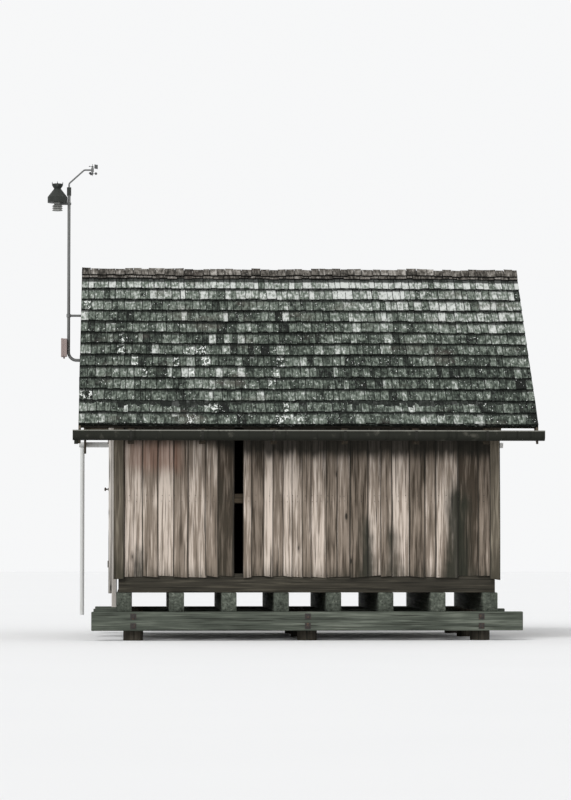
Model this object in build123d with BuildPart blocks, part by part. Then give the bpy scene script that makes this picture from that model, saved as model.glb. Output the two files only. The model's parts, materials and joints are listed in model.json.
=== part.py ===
from build123d import *
from math import cos, pi, radians, sin, tan
import os

os.makedirs("parts", exist_ok=True)

# Small timber hut on piles, standing in shallow water, with a steep shingled roof.
# X runs along the building, +Y towards its back, +Z up; Z = 0 is the water line.
# The origin is the foot of the centre pile. All sizes are in millimetres.

# Walls, measured over the upright boarding
WALL_LENGTH = 4052.0
WALL_DEPTH = 2880.0
BOARD = 28.0
BOARD_LAP = 35.0
EAVE_GAP = 3.0
SLOT_CENTRE = -728.0
SLOT_WIDTH = 91.0
CORNER_BOARD = 24.0
CORNER_BOARD_WIDTH = 110.0
CORNER_BOARD_DROP = 20.0

# Piles and the floor timbers on them
PILE_RADIUS = 105.0
PILE_SPACING = 1840.0
PILE_DAP = 20.0
WALING_OVERHANG = 441.0
WALING_THICKNESS = 100.0
WALING_BOTTOM = 105.0
WALING_HEIGHT = 200.0
JOIST_WIDTH = 160.0
JOIST_HEIGHT = 200.0
JOIST_BEARING = 45.0
JOISTS = 8
FLOOR = 28.0

# Wall frame
SILL_WIDTH = 120.0
SILL_HEIGHT = 200.0
MID_POST = 100.0
MID_POST_X = 620.0
DOOR_POST = 100.0
RAIL_THICKNESS = 80.0
RAIL_HEIGHT = 100.0
RAIL_BOTTOM = 1450.0
PLATE_HEIGHT = 120.0
LINTEL_HEIGHT = 66.77
TIE_WIDTH = 80.0
TIE_HEIGHT = 115.0
KING_POST_WIDTH = 100.0

# Roof, measured to the shingle tops at the eave
PITCH = 44.0
EAVE_OVERHANG = 390.0
VERGE_OVERHANG = 391.5
SHINGLES = 40.0
SHINGLES_THIN = 24.0
EXPOSURE = 185.0
SHEATHING = 24.0
RAFTER_WIDTH = 70.0
RAFTER_DEPTH = 110.0
RAFTER_SETBACK = 30.0
RAFTERS = 6
TIE_CLEARANCE = 15.0
BIRDSMOUTH = 28.0
RIDGE_THICKNESS = 40.0
RIDGE_HEIGHT = 150.0
CAP_WIDTH = 115.0
CAP_THICKNESS = 40.0
BARGE_THICKNESS = 25.0
BARGE_DEPTH = 130.0
BARGE_JOINT = 2.0

# Door on the left gable
DOOR_WIDTH = 800.0
DOOR_HEIGHT = 1865.0
CASING_WIDTH = 90.0
CASING_PROUD = 50.0
CASING_FOOT = 30.0
THRESHOLD_HEIGHT = 60.0
LEAF_LAP = 50.0
LEAF_THICKNESS = 32.0
LEAF_GAP = 5.0
LEAF_DROP = 50.0
LEDGE_THICKNESS = 22.0
LEDGE_HEIGHT = 120.0
LEDGE_SIDE_GAP = 25.0
LEDGE_END = 170.0
STRAP_LENGTH = 620.0
STRAP_WIDTH = 40.0
STRAP_THICKNESS = 5.0
HINGE_END = 290.0
KNUCKLE_RADIUS = 12.0
KNUCKLE_HEIGHT = 60.0
KNUCKLE_SET_OUT = 16.0
PIN_RADIUS = 6.0
PIN_CLEARANCE = 0.1
PIN_SEAT_GAP = 0.3
PINTLE_HEIGHT = 14.0
PINTLE_PLATE = 4.0
PINTLE_PLATE_HEIGHT = 110.0
PINTLE_PLATE_WIDTH = 22.0
KNOB_RADIUS = 20.0
KNOB_REACH = 46.0
KNOB_NECK = 28.0
KNOB_FOOT = 5.0
KNOB_FOOT_RADIUS = 16.0
KNOB_STEM_RADIUS = 8.0
KNOB_ABOVE_FLOOR = 1083.0
KNOB_EDGE = 70.0

# Gutters and downpipe
GUTTER_OVERHANG = 57.5
GUTTER_DROP = 73.0
GUTTER_RADIUS = 52.0
GUTTER_WALL = 3.0
FRONT_GUTTER_SIDE = 50.0
BACK_GUTTER_SIDE = 6.0
GUTTER_STRAP = 3.0
GUTTER_STRAP_WIDTH = 25.0
GUTTER_STRAP_GAP = 0.3
OUTLET_EDGE = 37.0
OUTLET_RADIUS = 21.8
OUTLET_LENGTH = 42.0
DOWNPIPE_RADIUS = 25.0
DOWNPIPE_WALL = 3.0
DOWNPIPE_FOOT = 200.0
DOWNPIPE_SEAT_GAP = 0.3

# Weather mast on the left gable
MAST_OUT = 536.0
MAST_RADIUS = 17.0
MAST_FOOT_BELOW_RIDGE = 736.93
MAST_ABOVE_ROOF = 917.79
MAST_BEND = 90.0
MAST_CLAMP_GAP = 0.2
MAST_CLAMP_WALL = 7.0
MAST_CLAMP_HEIGHT = 36.0
UPPER_ARM_BELOW_RIDGE = 242.93
UPPER_ARM_RADIUS = 13.0
MAST_PLATE = 6.0
MAST_PLATE_WIDTH = 80.0
MAST_PLATE_HEIGHT = 140.0

# Grey box on the mast
BOX_WIDTH = 64.0
BOX_DEPTH = 130.0
BOX_HEIGHT = 198.0
BOX_ABOVE_FOOT = 40.0
BOX_LID = 22.0
BOX_LID_STEP = 3.0
BOX_CORNER = 8.0
GLAND_RADIUS = 9.0
GLAND_LENGTH = 22.0

# Rain collector and radiation shield beside the mast top
COLLECTOR_OUT = 128.0
COLLECTOR_BELOW_TOP = 165.0
HOOD_RADIUS = 109.0
HOOD_SIDE = 62.0
WAIST_RADIUS = 38.0
WAIST_HEIGHT = 155.0
FUNNEL_RADIUS = 60.0
FUNNEL_RIM = 16.0
FUNNEL_WALL = 4.0
FUNNEL_OUTLET = 8.0
FUNNEL_DEPTH = 70.0
COLLECTOR_HEIGHT = 205.0
SHIELD_RADIUS = 58.0
SHIELD_CORE = 38.0
SHIELD_SIDES = 24
SHIELD_PLATES = 3
SHIELD_DISH = 15.0
SHIELD_LIP = 4.0
SHIELD_PITCH = 23.0
BRACKET_WIDTH = 30.0
BRACKET_THICKNESS = 24.0

# Wind arm, cup rotor and vane
WIND_SLEEVE_HEIGHT = 95.0
WIND_SLEEVE_WALL = 6.0
WIND_ARM_RADIUS = 9.0
WIND_ARM_RISE = 42.0
WIND_ARM_REACH = 258.0
WIND_ARM_LIFT = 200.0
WIND_ARM_ELBOW_OUT = 168.0
WIND_ARM_BEND = 30.0
WIND_HEAD_RADIUS = 15.0
WIND_HEAD_HEIGHT = 44.0
SPINDLE_RADIUS = 3.0
SPINDLE_LENGTH = 44.0
SPINDLE_GAP = 0.1
ROTOR_GAP = 5.0
ROTOR_HUB_RADIUS = 10.0
ROTOR_HUB_HEIGHT = 24.0
CUP_RADIUS = 15.0
CUP_TIP_RADIUS = 4.0
CUP_DEPTH = 22.0
CUP_RIM = 2.0
CUP_SIDES = 12
CUP_WALL = 1.5
CUP_ARM = 38.0
CUP_ARM_WIDTH = 3.0
CUP_ARM_HEIGHT = 5.0
CUPS = 3
VANE_HUB_HEIGHT = 18.0
VANE_ROD_RADIUS = 2.6
VANE_TAIL = 92.0
VANE_NOSE = 52.0
VANE_WEIGHT_RADIUS = 5.0
VANE_WEIGHT_LENGTH = 14.0
VANE_FIN_LENGTH = 56.0
VANE_FIN_HEIGHT = 47.0
VANE_FIN_DROP = 16.0
VANE_FIN_THICKNESS = 3.0
VANE_HEADING = 52.0

# Values that follow from the sizes above
SLOPE = radians(PITCH)
HALF_LENGTH = WALL_LENGTH / 2
HALF_DEPTH = WALL_DEPTH / 2
FRAME_X = HALF_LENGTH - BOARD
FRAME_Y = HALF_DEPTH - BOARD
SILL_X = FRAME_X - SILL_WIDTH
SILL_Y = FRAME_Y - SILL_WIDTH
EAVE_Y = HALF_DEPTH + EAVE_OVERHANG
VERGE_X = HALF_LENGTH + VERGE_OVERHANG
SHEATHING_X = VERGE_X - BARGE_THICKNESS
RAFTER_END = EAVE_Y - RAFTER_SETBACK
RAFTER_TOP = SHINGLES + SHEATHING
RAFTER_UNDERSIDE = RAFTER_TOP + RAFTER_DEPTH
ROOF_SLOPE = EAVE_Y / cos(SLOPE)
COURSES = round((ROOF_SLOPE - CAP_WIDTH) / EXPOSURE)

PILE_ROW = FRAME_Y - SILL_WIDTH / 2
WALING_LENGTH = 2 * (PILE_SPACING + WALING_OVERHANG)
WALING_INNER = PILE_RADIUS - PILE_DAP
JOIST_BOTTOM = WALING_BOTTOM + WALING_HEIGHT
SILL_BOTTOM = JOIST_BOTTOM + JOIST_HEIGHT
SILL_TOP = SILL_BOTTOM + SILL_HEIGHT
FLOOR_TOP = SILL_BOTTOM + FLOOR
BOARDING_BOTTOM = SILL_TOP - BOARD_LAP
JOIST_END = PILE_ROW + WALING_INNER + JOIST_BEARING
RAFTER_X = FRAME_X - TIE_WIDTH - TIE_CLEARANCE - RAFTER_WIDTH / 2
RAFTER_SPACING = 2 * RAFTER_X / (RAFTERS - 1)
INNER_TIE_X = RAFTER_SPACING / 2 + RAFTER_WIDTH / 2 + TIE_CLEARANCE + TIE_WIDTH / 2
GABLE_TIE_X = FRAME_X - TIE_WIDTH / 2
DOOR_HEAD = FLOOR_TOP + DOOR_HEIGHT
PLATE_TOP = DOOR_HEAD + LINTEL_HEIGHT
PLATE_BOTTOM = PLATE_TOP - PLATE_HEIGHT
EAVE_FALL = (EAVE_Y - FRAME_Y) * tan(SLOPE) - RAFTER_UNDERSIDE / cos(SLOPE)
EAVE_HEIGHT = PLATE_TOP - BIRDSMOUTH - EAVE_FALL
DOOR_SIDE = DOOR_WIDTH / 2
CASING_FACE = HALF_LENGTH + CASING_PROUD
LEAF_BACK = CASING_FACE + LEAF_GAP
LEAF_FACE = LEAF_BACK + LEAF_THICKNESS
LEAF_SIDE = DOOR_SIDE + LEAF_LAP
LEAF_BOTTOM = FLOOR_TOP - LEAF_DROP
LEAF_TOP = DOOR_HEAD + LEAF_LAP - LEAF_GAP
HINGE_X = -(LEAF_FACE + STRAP_THICKNESS)
HINGE_Y = LEAF_SIDE + KNUCKLE_SET_OUT
HINGE_HEIGHTS = (LEAF_BOTTOM + HINGE_END, LEAF_TOP - HINGE_END)
KNOB_HEIGHT = FLOOR_TOP + KNOB_ABOVE_FLOOR
GUTTER_X = VERGE_X + GUTTER_OVERHANG
GUTTER_Y = RAFTER_END + GUTTER_STRAP + GUTTER_STRAP_GAP + GUTTER_RADIUS
GUTTER_RIM = EAVE_HEIGHT - GUTTER_DROP
OUTLET_X = -(GUTTER_X - OUTLET_EDGE)
MAST_X = -(HALF_LENGTH + MAST_OUT)
COLLECTOR_X = MAST_X - COLLECTOR_OUT
WIND_HEAD_X = MAST_X + WIND_ARM_REACH

BOTTOM = (Align.CENTER, Align.CENTER, Align.MIN)
TOP = (Align.CENTER, Align.CENTER, Align.MAX)


def roof_z(y, depth=0.0):
    """Height of the roof at y, at a depth square to the slope below the shingle tops."""
    return EAVE_HEIGHT + (EAVE_Y - abs(y)) * tan(SLOPE) - depth / cos(SLOPE)


def on_slope(up, depth):
    """Point of the front slope, up from the eave edge and at a depth square to it."""
    y = -EAVE_Y + up * cos(SLOPE) + depth * sin(SLOPE)
    z = EAVE_HEIGHT + up * sin(SLOPE) - depth * cos(SLOPE)
    return (y, z)


WALL_TOP = roof_z(HALF_DEPTH, RAFTER_UNDERSIDE) - EAVE_GAP
RIDGE_TOP = roof_z(RIDGE_THICKNESS / 2, RAFTER_TOP)
RIDGE_BOTTOM = RIDGE_TOP - RIDGE_HEIGHT
APEX = roof_z(0)
MAST_FOOT = RIDGE_BOTTOM - MAST_FOOT_BELOW_RIDGE
UPPER_ARM_HEIGHT = RIDGE_BOTTOM - UPPER_ARM_BELOW_RIDGE
MAST_TOP = APEX + MAST_ABOVE_ROOF
BOX_BOTTOM = MAST_FOOT + BOX_ABOVE_FOOT
COLLECTOR_BOTTOM = MAST_TOP - COLLECTOR_BELOW_TOP
WIND_ARM_HEIGHT = MAST_TOP + WIND_ARM_LIFT
WIND_HEAD_BOTTOM = WIND_ARM_HEIGHT - WIND_HEAD_HEIGHT / 2
WIND_HEAD_TOP = WIND_ARM_HEIGHT + WIND_HEAD_HEIGHT / 2

# Space under the roof boards, which trims what stands up into the gables
with BuildPart() as roof_space:
    with BuildSketch(Plane.YZ):
        with BuildLine():
            Polyline(
                (-EAVE_Y, 0),
                (EAVE_Y, 0),
                (EAVE_Y, roof_z(EAVE_Y, RAFTER_TOP)),
                (0, roof_z(0, RAFTER_TOP)),
                (-EAVE_Y, roof_z(EAVE_Y, RAFTER_TOP)),
                close=True,
            )
        make_face()
    extrude(amount=VERGE_X, both=True)

# Walings, the long low beams bolted to the sides of the pile rows
with BuildPart() as walings:
    for row, side in ((-PILE_ROW, -1), (0.0, 1), (PILE_ROW, 1)):
        middle = row + side * (WALING_INNER + WALING_THICKNESS / 2)
        with Locations((0, middle, WALING_BOTTOM)):
            Box(WALING_LENGTH, WALING_THICKNESS, WALING_HEIGHT, align=BOTTOM)
walings.part.label = "walings"
export_step(walings.part, "parts/walings.step")

# Round piles in three rows, flattened where the walings bear on them
with BuildPart() as piles:
    with GridLocations(PILE_SPACING, PILE_ROW, 3, 3):
        Cylinder(PILE_RADIUS, JOIST_BOTTOM, align=BOTTOM)
    add(walings.part, mode=Mode.SUBTRACT)
piles.part.label = "piles"
export_step(piles.part, "parts/piles.step")

# Floor joists across the walings
with BuildPart() as floor_joists:
    with Locations((0, 0, JOIST_BOTTOM)):
        with GridLocations(2 * (FRAME_X - SILL_WIDTH / 2) / (JOISTS - 1), 1, JOISTS, 1):
            Box(JOIST_WIDTH, 2 * JOIST_END, JOIST_HEIGHT, align=BOTTOM)
floor_joists.part.label = "floor_joists"
export_step(floor_joists.part, "parts/floor_joists.step")

# Sills of the long walls
with BuildPart() as long_sills:
    with Locations((0, 0, SILL_BOTTOM)):
        with GridLocations(1, 2 * PILE_ROW, 1, 2):
            Box(2 * FRAME_X, SILL_WIDTH, SILL_HEIGHT, align=BOTTOM)
long_sills.part.label = "long_sills"
export_step(long_sills.part, "parts/long_sills.step")

# Sills of the gables, the left one open at the doorway
with BuildPart() as gable_sills:
    with Locations((0, 0, SILL_BOTTOM)):
        with GridLocations(2 * FRAME_X - SILL_WIDTH, 1, 2, 1):
            Box(SILL_WIDTH, 2 * SILL_Y, SILL_HEIGHT, align=BOTTOM)
        with Locations((-FRAME_X + SILL_WIDTH / 2, 0, 0)):
            doorway = 2 * (DOOR_SIDE + DOOR_POST)
            Box(SILL_WIDTH, doorway, SILL_HEIGHT, align=BOTTOM, mode=Mode.SUBTRACT)
gable_sills.part.label = "gable_sills"
export_step(gable_sills.part, "parts/gable_sills.step")

# Floor boards inside the sills, reaching out through the doorway
with BuildPart() as floor_boards:
    with Locations((0, 0, SILL_BOTTOM)):
        Box(2 * SILL_X, 2 * SILL_Y, FLOOR, align=BOTTOM)
    with Locations((-FRAME_X, 0, SILL_BOTTOM)):
        Box(
            SILL_WIDTH,
            DOOR_WIDTH,
            FLOOR,
            align=(Align.MIN, Align.CENTER, Align.MIN),
        )
floor_boards.part.label = "floor_boards"
export_step(floor_boards.part, "parts/floor_boards.step")

# Posts of the wall frame: corners, two in each long wall, one in the right gable, two at the door
with BuildPart() as wall_posts:
    post_height = PLATE_BOTTOM - SILL_TOP
    with Locations((0, 0, SILL_TOP)):
        with GridLocations(2 * FRAME_X - SILL_WIDTH, 2 * PILE_ROW, 2, 2):
            Box(SILL_WIDTH, SILL_WIDTH, post_height, align=BOTTOM)
        with GridLocations(2 * MID_POST_X, 2 * PILE_ROW, 2, 2):
            Box(MID_POST, SILL_WIDTH, post_height, align=BOTTOM)
        with Locations((FRAME_X - SILL_WIDTH / 2, 0, 0)):
            Box(SILL_WIDTH, MID_POST, PLATE_TOP - SILL_TOP, align=BOTTOM)
    with Locations((-FRAME_X + DOOR_POST / 2, 0, SILL_BOTTOM)):
        with GridLocations(1, DOOR_WIDTH + DOOR_POST, 1, 2):
            Box(DOOR_POST, DOOR_POST, PLATE_TOP - SILL_BOTTOM, align=BOTTOM)
wall_posts.part.label = "wall_posts"
export_step(wall_posts.part, "parts/wall_posts.step")

# Rails halfway up the walls, flush with the outside of the posts, and the lintel of the doorway
with BuildPart() as wall_rails:
    rail_row = FRAME_Y - RAIL_THICKNESS / 2
    rail_column = FRAME_X - RAIL_THICKNESS / 2
    inner_bay = 2 * MID_POST_X - MID_POST
    outer_bay = SILL_X - MID_POST_X - MID_POST / 2
    right_bay = SILL_Y - MID_POST / 2
    left_bay = SILL_Y - DOOR_SIDE - DOOR_POST
    with Locations((0, 0, RAIL_BOTTOM)):
        with GridLocations(1, 2 * rail_row, 1, 2):
            Box(inner_bay, RAIL_THICKNESS, RAIL_HEIGHT, align=BOTTOM)
        with GridLocations(2 * SILL_X - outer_bay, 2 * rail_row, 2, 2):
            Box(outer_bay, RAIL_THICKNESS, RAIL_HEIGHT, align=BOTTOM)
        with Locations((rail_column, 0, 0)):
            with GridLocations(1, 2 * SILL_Y - right_bay, 1, 2):
                Box(RAIL_THICKNESS, right_bay, RAIL_HEIGHT, align=BOTTOM)
        with Locations((-rail_column, 0, 0)):
            with GridLocations(1, 2 * SILL_Y - left_bay, 1, 2):
                Box(RAIL_THICKNESS, left_bay, RAIL_HEIGHT, align=BOTTOM)
    with Locations((-FRAME_X + DOOR_POST / 2, 0, PLATE_TOP)):
        Box(DOOR_POST, DOOR_WIDTH, LINTEL_HEIGHT, align=TOP)
wall_rails.part.label = "wall_rails"
export_step(wall_rails.part, "parts/wall_rails.step")

# Wall plates under the rafters
with BuildPart() as wall_plates:
    with Locations((0, 0, PLATE_BOTTOM)):
        with GridLocations(1, 2 * PILE_ROW, 1, 2):
            Box(2 * FRAME_X, SILL_WIDTH, PLATE_HEIGHT, align=BOTTOM)
wall_plates.part.label = "wall_plates"
export_step(wall_plates.part, "parts/wall_plates.step")

# Tie beams from plate to plate, at both gables and twice between, trimmed under the roof boards
with BuildPart() as tie_beams:
    with Locations((0, 0, PLATE_TOP)):
        for tie_x in (GABLE_TIE_X, INNER_TIE_X):
            with GridLocations(2 * tie_x, 1, 2, 1):
                Box(TIE_WIDTH, 2 * FRAME_Y, TIE_HEIGHT, align=BOTTOM)
    add(roof_space.part, mode=Mode.INTERSECT)
tie_beams.part.label = "tie_beams"
export_step(tie_beams.part, "parts/tie_beams.step")

# Ridge board between the rafter tops, carried out to the verges
with BuildPart() as ridge_beam:
    with Locations((0, 0, RIDGE_BOTTOM)):
        Box(2 * SHEATHING_X, RIDGE_THICKNESS, RIDGE_HEIGHT, align=BOTTOM)
ridge_beam.part.label = "ridge_beam"
export_step(ridge_beam.part, "parts/ridge_beam.step")

# King posts from the gable tie beams to the ridge board
with BuildPart() as king_posts:
    with Locations((0, 0, PLATE_TOP + TIE_HEIGHT)):
        with GridLocations(2 * GABLE_TIE_X, 1, 2, 1):
            Box(
                TIE_WIDTH,
                KING_POST_WIDTH,
                RIDGE_BOTTOM - PLATE_TOP - TIE_HEIGHT,
                align=BOTTOM,
            )
king_posts.part.label = "king_posts"
export_step(king_posts.part, "parts/king_posts.step")

# Rafters with a birdsmouth over the wall plate, cut plumb at the ridge board and at the foot
with BuildPart() as front_rafters:
    with BuildSketch(Plane.YZ):
        with BuildLine():
            Polyline(
                (-RIDGE_THICKNESS / 2, roof_z(RIDGE_THICKNESS / 2, RAFTER_TOP)),
                (-RAFTER_END, roof_z(RAFTER_END, RAFTER_TOP)),
                (-RAFTER_END, roof_z(RAFTER_END, RAFTER_UNDERSIDE)),
                (-RIDGE_THICKNESS / 2, roof_z(RIDGE_THICKNESS / 2, RAFTER_UNDERSIDE)),
                close=True,
            )
        make_face()
    one_rafter = extrude(amount=RAFTER_WIDTH / 2, both=True, mode=Mode.PRIVATE)
    with GridLocations(RAFTER_SPACING, 1, RAFTERS, 1):
        add(one_rafter)
    add(wall_plates.part, mode=Mode.SUBTRACT)
front_rafters.part.label = "front_rafters"
export_step(front_rafters.part, "parts/front_rafters.step")

with BuildPart() as back_rafters:
    mirror(front_rafters.part, about=Plane.XZ)
back_rafters.part.label = "back_rafters"
export_step(back_rafters.part, "parts/back_rafters.step")

# Roof boards on the rafters, meeting at the ridge
with BuildPart() as front_roof_boards:
    with BuildSketch(Plane.YZ):
        with BuildLine():
            Polyline(
                (0, roof_z(0, SHINGLES)),
                (-RAFTER_END, roof_z(RAFTER_END, SHINGLES)),
                (-RAFTER_END, roof_z(RAFTER_END, RAFTER_TOP)),
                (0, roof_z(0, RAFTER_TOP)),
                close=True,
            )
        make_face()
    extrude(amount=SHEATHING_X, both=True)
front_roof_boards.part.label = "front_roof_boards"
export_step(front_roof_boards.part, "parts/front_roof_boards.step")

with BuildPart() as back_roof_boards:
    mirror(front_roof_boards.part, about=Plane.XZ)
back_roof_boards.part.label = "back_roof_boards"
export_step(back_roof_boards.part, "parts/back_roof_boards.step")

# Shingle courses: each one thins upwards and the next one steps over it, up to a plumb cut at the ridge
with BuildPart() as front_shingles:
    cap_start = ROOF_SLOPE - CAP_WIDTH
    exposed = cap_start / COURSES
    cap_seat = SHINGLES - SHINGLES_THIN
    course_outline = [on_slope(0, SHINGLES)]
    for course in range(COURSES):
        course_outline.append(on_slope(course * exposed, 0))
        course_outline.append(on_slope((course + 1) * exposed, cap_seat))
    past_ridge = ROOF_SLOPE + SHINGLES
    course_outline.append(on_slope(past_ridge, cap_seat))
    course_outline.append(on_slope(past_ridge, SHINGLES))
    with BuildSketch(Plane.YZ):
        with BuildLine():
            Polyline(*course_outline, close=True)
        make_face()
    extrude(amount=VERGE_X, both=True)
    split(bisect_by=Plane.XZ, keep=Keep.TOP)
front_shingles.part.label = "front_shingles"
export_step(front_shingles.part, "parts/front_shingles.step")

with BuildPart() as back_shingles:
    mirror(front_shingles.part, about=Plane.XZ)
back_shingles.part.label = "back_shingles"
export_step(back_shingles.part, "parts/back_shingles.step")

# Ridge cap: a double layer of shingles on each slope, lying on the thin ends of the top course
with BuildPart() as ridge_cap:
    cap_top = cap_seat - CAP_THICKNESS
    with BuildSketch(Plane.YZ):
        with BuildLine():
            Polyline(
                (0, roof_z(0, cap_seat)),
                on_slope(cap_start, cap_seat),
                on_slope(cap_start, cap_top),
                (0, roof_z(0, cap_top)),
                close=True,
            )
        make_face()
    extrude(amount=VERGE_X, both=True)
    mirror(about=Plane.XZ)
ridge_cap.part.label = "ridge_cap"
export_step(ridge_cap.part, "parts/ridge_cap.step")

# Bargeboards under the verges, a pair on each gable with an open plumb joint at the ridge
with BuildPart() as right_bargeboards:
    barge_foot = SHINGLES + BARGE_DEPTH
    plumb_cut = BARGE_JOINT / 2
    with BuildSketch(Plane.YZ.offset(SHEATHING_X)):
        with BuildLine():
            Polyline(
                (-plumb_cut, roof_z(plumb_cut, SHINGLES)),
                (-RAFTER_END, roof_z(RAFTER_END, SHINGLES)),
                (-RAFTER_END, roof_z(RAFTER_END, barge_foot)),
                (-plumb_cut, roof_z(plumb_cut, barge_foot)),
                close=True,
            )
        make_face()
    extrude(amount=BARGE_THICKNESS)
    mirror(about=Plane.XZ)
right_bargeboards.part.label = "right_bargeboards"
export_step(right_bargeboards.part, "parts/right_bargeboards.step")

with BuildPart() as left_bargeboards:
    mirror(right_bargeboards.part, about=Plane.YZ)
left_bargeboards.part.label = "left_bargeboards"
export_step(left_bargeboards.part, "parts/left_bargeboards.step")

# Boarding of the long walls; a board is missing from the front, which leaves a slot
wall_height = WALL_TOP - BOARDING_BOTTOM
slot_left = SLOT_CENTRE - SLOT_WIDTH / 2
slot_right = SLOT_CENTRE + SLOT_WIDTH / 2
with BuildPart() as front_wall_left:
    with Locations((-HALF_LENGTH, -HALF_DEPTH, BOARDING_BOTTOM)):
        Box(slot_left + HALF_LENGTH, BOARD, wall_height, align=Align.MIN)
front_wall_left.part.label = "front_wall_left"
export_step(front_wall_left.part, "parts/front_wall_left.step")

with BuildPart() as front_wall_right:
    with Locations((slot_right, -HALF_DEPTH, BOARDING_BOTTOM)):
        Box(HALF_LENGTH - slot_right, BOARD, wall_height, align=Align.MIN)
front_wall_right.part.label = "front_wall_right"
export_step(front_wall_right.part, "parts/front_wall_right.step")

with BuildPart() as back_wall:
    with Locations((-HALF_LENGTH, FRAME_Y, BOARDING_BOTTOM)):
        Box(WALL_LENGTH, BOARD, wall_height, align=Align.MIN)
back_wall.part.label = "back_wall"
export_step(back_wall.part, "parts/back_wall.step")

# Boarding of the gables, up to the roof boards and notched round the ridge board
with BuildPart() as right_gable_wall:
    with Locations((FRAME_X, -FRAME_Y, BOARDING_BOTTOM)):
        Box(BOARD, 2 * FRAME_Y, APEX - BOARDING_BOTTOM, align=Align.MIN)
    add(roof_space.part, mode=Mode.INTERSECT)
    with Locations((0, 0, RIDGE_BOTTOM)):
        Box(WALL_LENGTH, RIDGE_THICKNESS, APEX, align=BOTTOM, mode=Mode.SUBTRACT)
right_gable_wall.part.label = "right_gable_wall"
export_step(right_gable_wall.part, "parts/right_gable_wall.step")

side_panel = FRAME_Y - DOOR_SIDE
with BuildPart() as left_gable_wall_front:
    with Locations((-HALF_LENGTH, -FRAME_Y, BOARDING_BOTTOM)):
        Box(BOARD, side_panel, DOOR_HEAD - BOARDING_BOTTOM, align=Align.MIN)
left_gable_wall_front.part.label = "left_gable_wall_front"
export_step(left_gable_wall_front.part, "parts/left_gable_wall_front.step")

with BuildPart() as left_gable_wall_back:
    with Locations((-HALF_LENGTH, DOOR_SIDE, BOARDING_BOTTOM)):
        Box(BOARD, side_panel, DOOR_HEAD - BOARDING_BOTTOM, align=Align.MIN)
left_gable_wall_back.part.label = "left_gable_wall_back"
export_step(left_gable_wall_back.part, "parts/left_gable_wall_back.step")

with BuildPart() as left_gable_wall_top:
    with Locations((-HALF_LENGTH, -FRAME_Y, DOOR_HEAD)):
        Box(BOARD, 2 * FRAME_Y, APEX - DOOR_HEAD, align=Align.MIN)
    add(roof_space.part, mode=Mode.INTERSECT)
    with Locations((0, 0, RIDGE_BOTTOM)):
        Box(WALL_LENGTH, RIDGE_THICKNESS, APEX, align=BOTTOM, mode=Mode.SUBTRACT)
left_gable_wall_top.part.label = "left_gable_wall_top"
export_step(left_gable_wall_top.part, "parts/left_gable_wall_top.step")

# Corner boards, one angle of two boards round each corner
with BuildPart() as corner_boards:
    corner_bottom = BOARDING_BOTTOM - CORNER_BOARD_DROP
    with BuildSketch(Plane.XY.offset(corner_bottom)):
        Rectangle(WALL_LENGTH + 2 * CORNER_BOARD, WALL_DEPTH + 2 * CORNER_BOARD)
        Rectangle(WALL_LENGTH, WALL_DEPTH, mode=Mode.SUBTRACT)
        between_x = 2 * (HALF_LENGTH + CORNER_BOARD - CORNER_BOARD_WIDTH)
        between_y = 2 * (HALF_DEPTH + CORNER_BOARD - CORNER_BOARD_WIDTH)
        Rectangle(between_x, 2 * EAVE_Y, mode=Mode.SUBTRACT)
        Rectangle(2 * VERGE_X, between_y, mode=Mode.SUBTRACT)
    extrude(amount=WALL_TOP - corner_bottom)
corner_boards.part.label = "corner_boards"
export_step(corner_boards.part, "parts/corner_boards.step")

# Door casing: two jambs standing proud of the boarding, with the head and threshold between them
casing_bottom = JOIST_BOTTOM + CASING_FOOT
casing_top = DOOR_HEAD + CASING_WIDTH
with BuildPart() as door_jambs:
    with Locations((-HALF_LENGTH - CASING_PROUD / 2, 0, casing_bottom)):
        with GridLocations(1, DOOR_WIDTH + CASING_WIDTH, 1, 2):
            Box(CASING_PROUD, CASING_WIDTH, casing_top - casing_bottom, align=BOTTOM)
door_jambs.part.label = "door_jambs"
export_step(door_jambs.part, "parts/door_jambs.step")

with BuildPart() as door_head_and_threshold:
    with Locations((-HALF_LENGTH - CASING_PROUD / 2, 0, 0)):
        with Locations((0, 0, casing_top)):
            Box(CASING_PROUD, DOOR_WIDTH, CASING_WIDTH, align=TOP)
        with Locations((0, 0, FLOOR_TOP)):
            Box(CASING_PROUD, DOOR_WIDTH, THRESHOLD_HEIGHT, align=TOP)
door_head_and_threshold.part.label = "door_head_and_threshold"
export_step(door_head_and_threshold.part, "parts/door_head_and_threshold.step")

# Door leaf of upright boards, lapping over the casing, with three ledges inside the opening
with BuildPart() as door_leaf:
    leaf_height = LEAF_TOP - LEAF_BOTTOM
    with Locations((-LEAF_BACK - LEAF_THICKNESS / 2, 0, LEAF_BOTTOM)):
        Box(LEAF_THICKNESS, 2 * LEAF_SIDE, leaf_height, align=BOTTOM)
    ledge_span = leaf_height - 2 * LEDGE_END - LEDGE_HEIGHT
    with Locations((-LEAF_BACK + LEDGE_THICKNESS / 2, 0, LEAF_BOTTOM + LEDGE_END)):
        for ledge in range(3):
            with Locations((0, 0, ledge * ledge_span / 2)):
                Box(
                    LEDGE_THICKNESS,
                    DOOR_WIDTH - 2 * LEDGE_SIDE_GAP,
                    LEDGE_HEIGHT,
                    align=BOTTOM,
                )
door_leaf.part.label = "door_leaf"
export_step(door_leaf.part, "parts/door_leaf.step")

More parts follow.
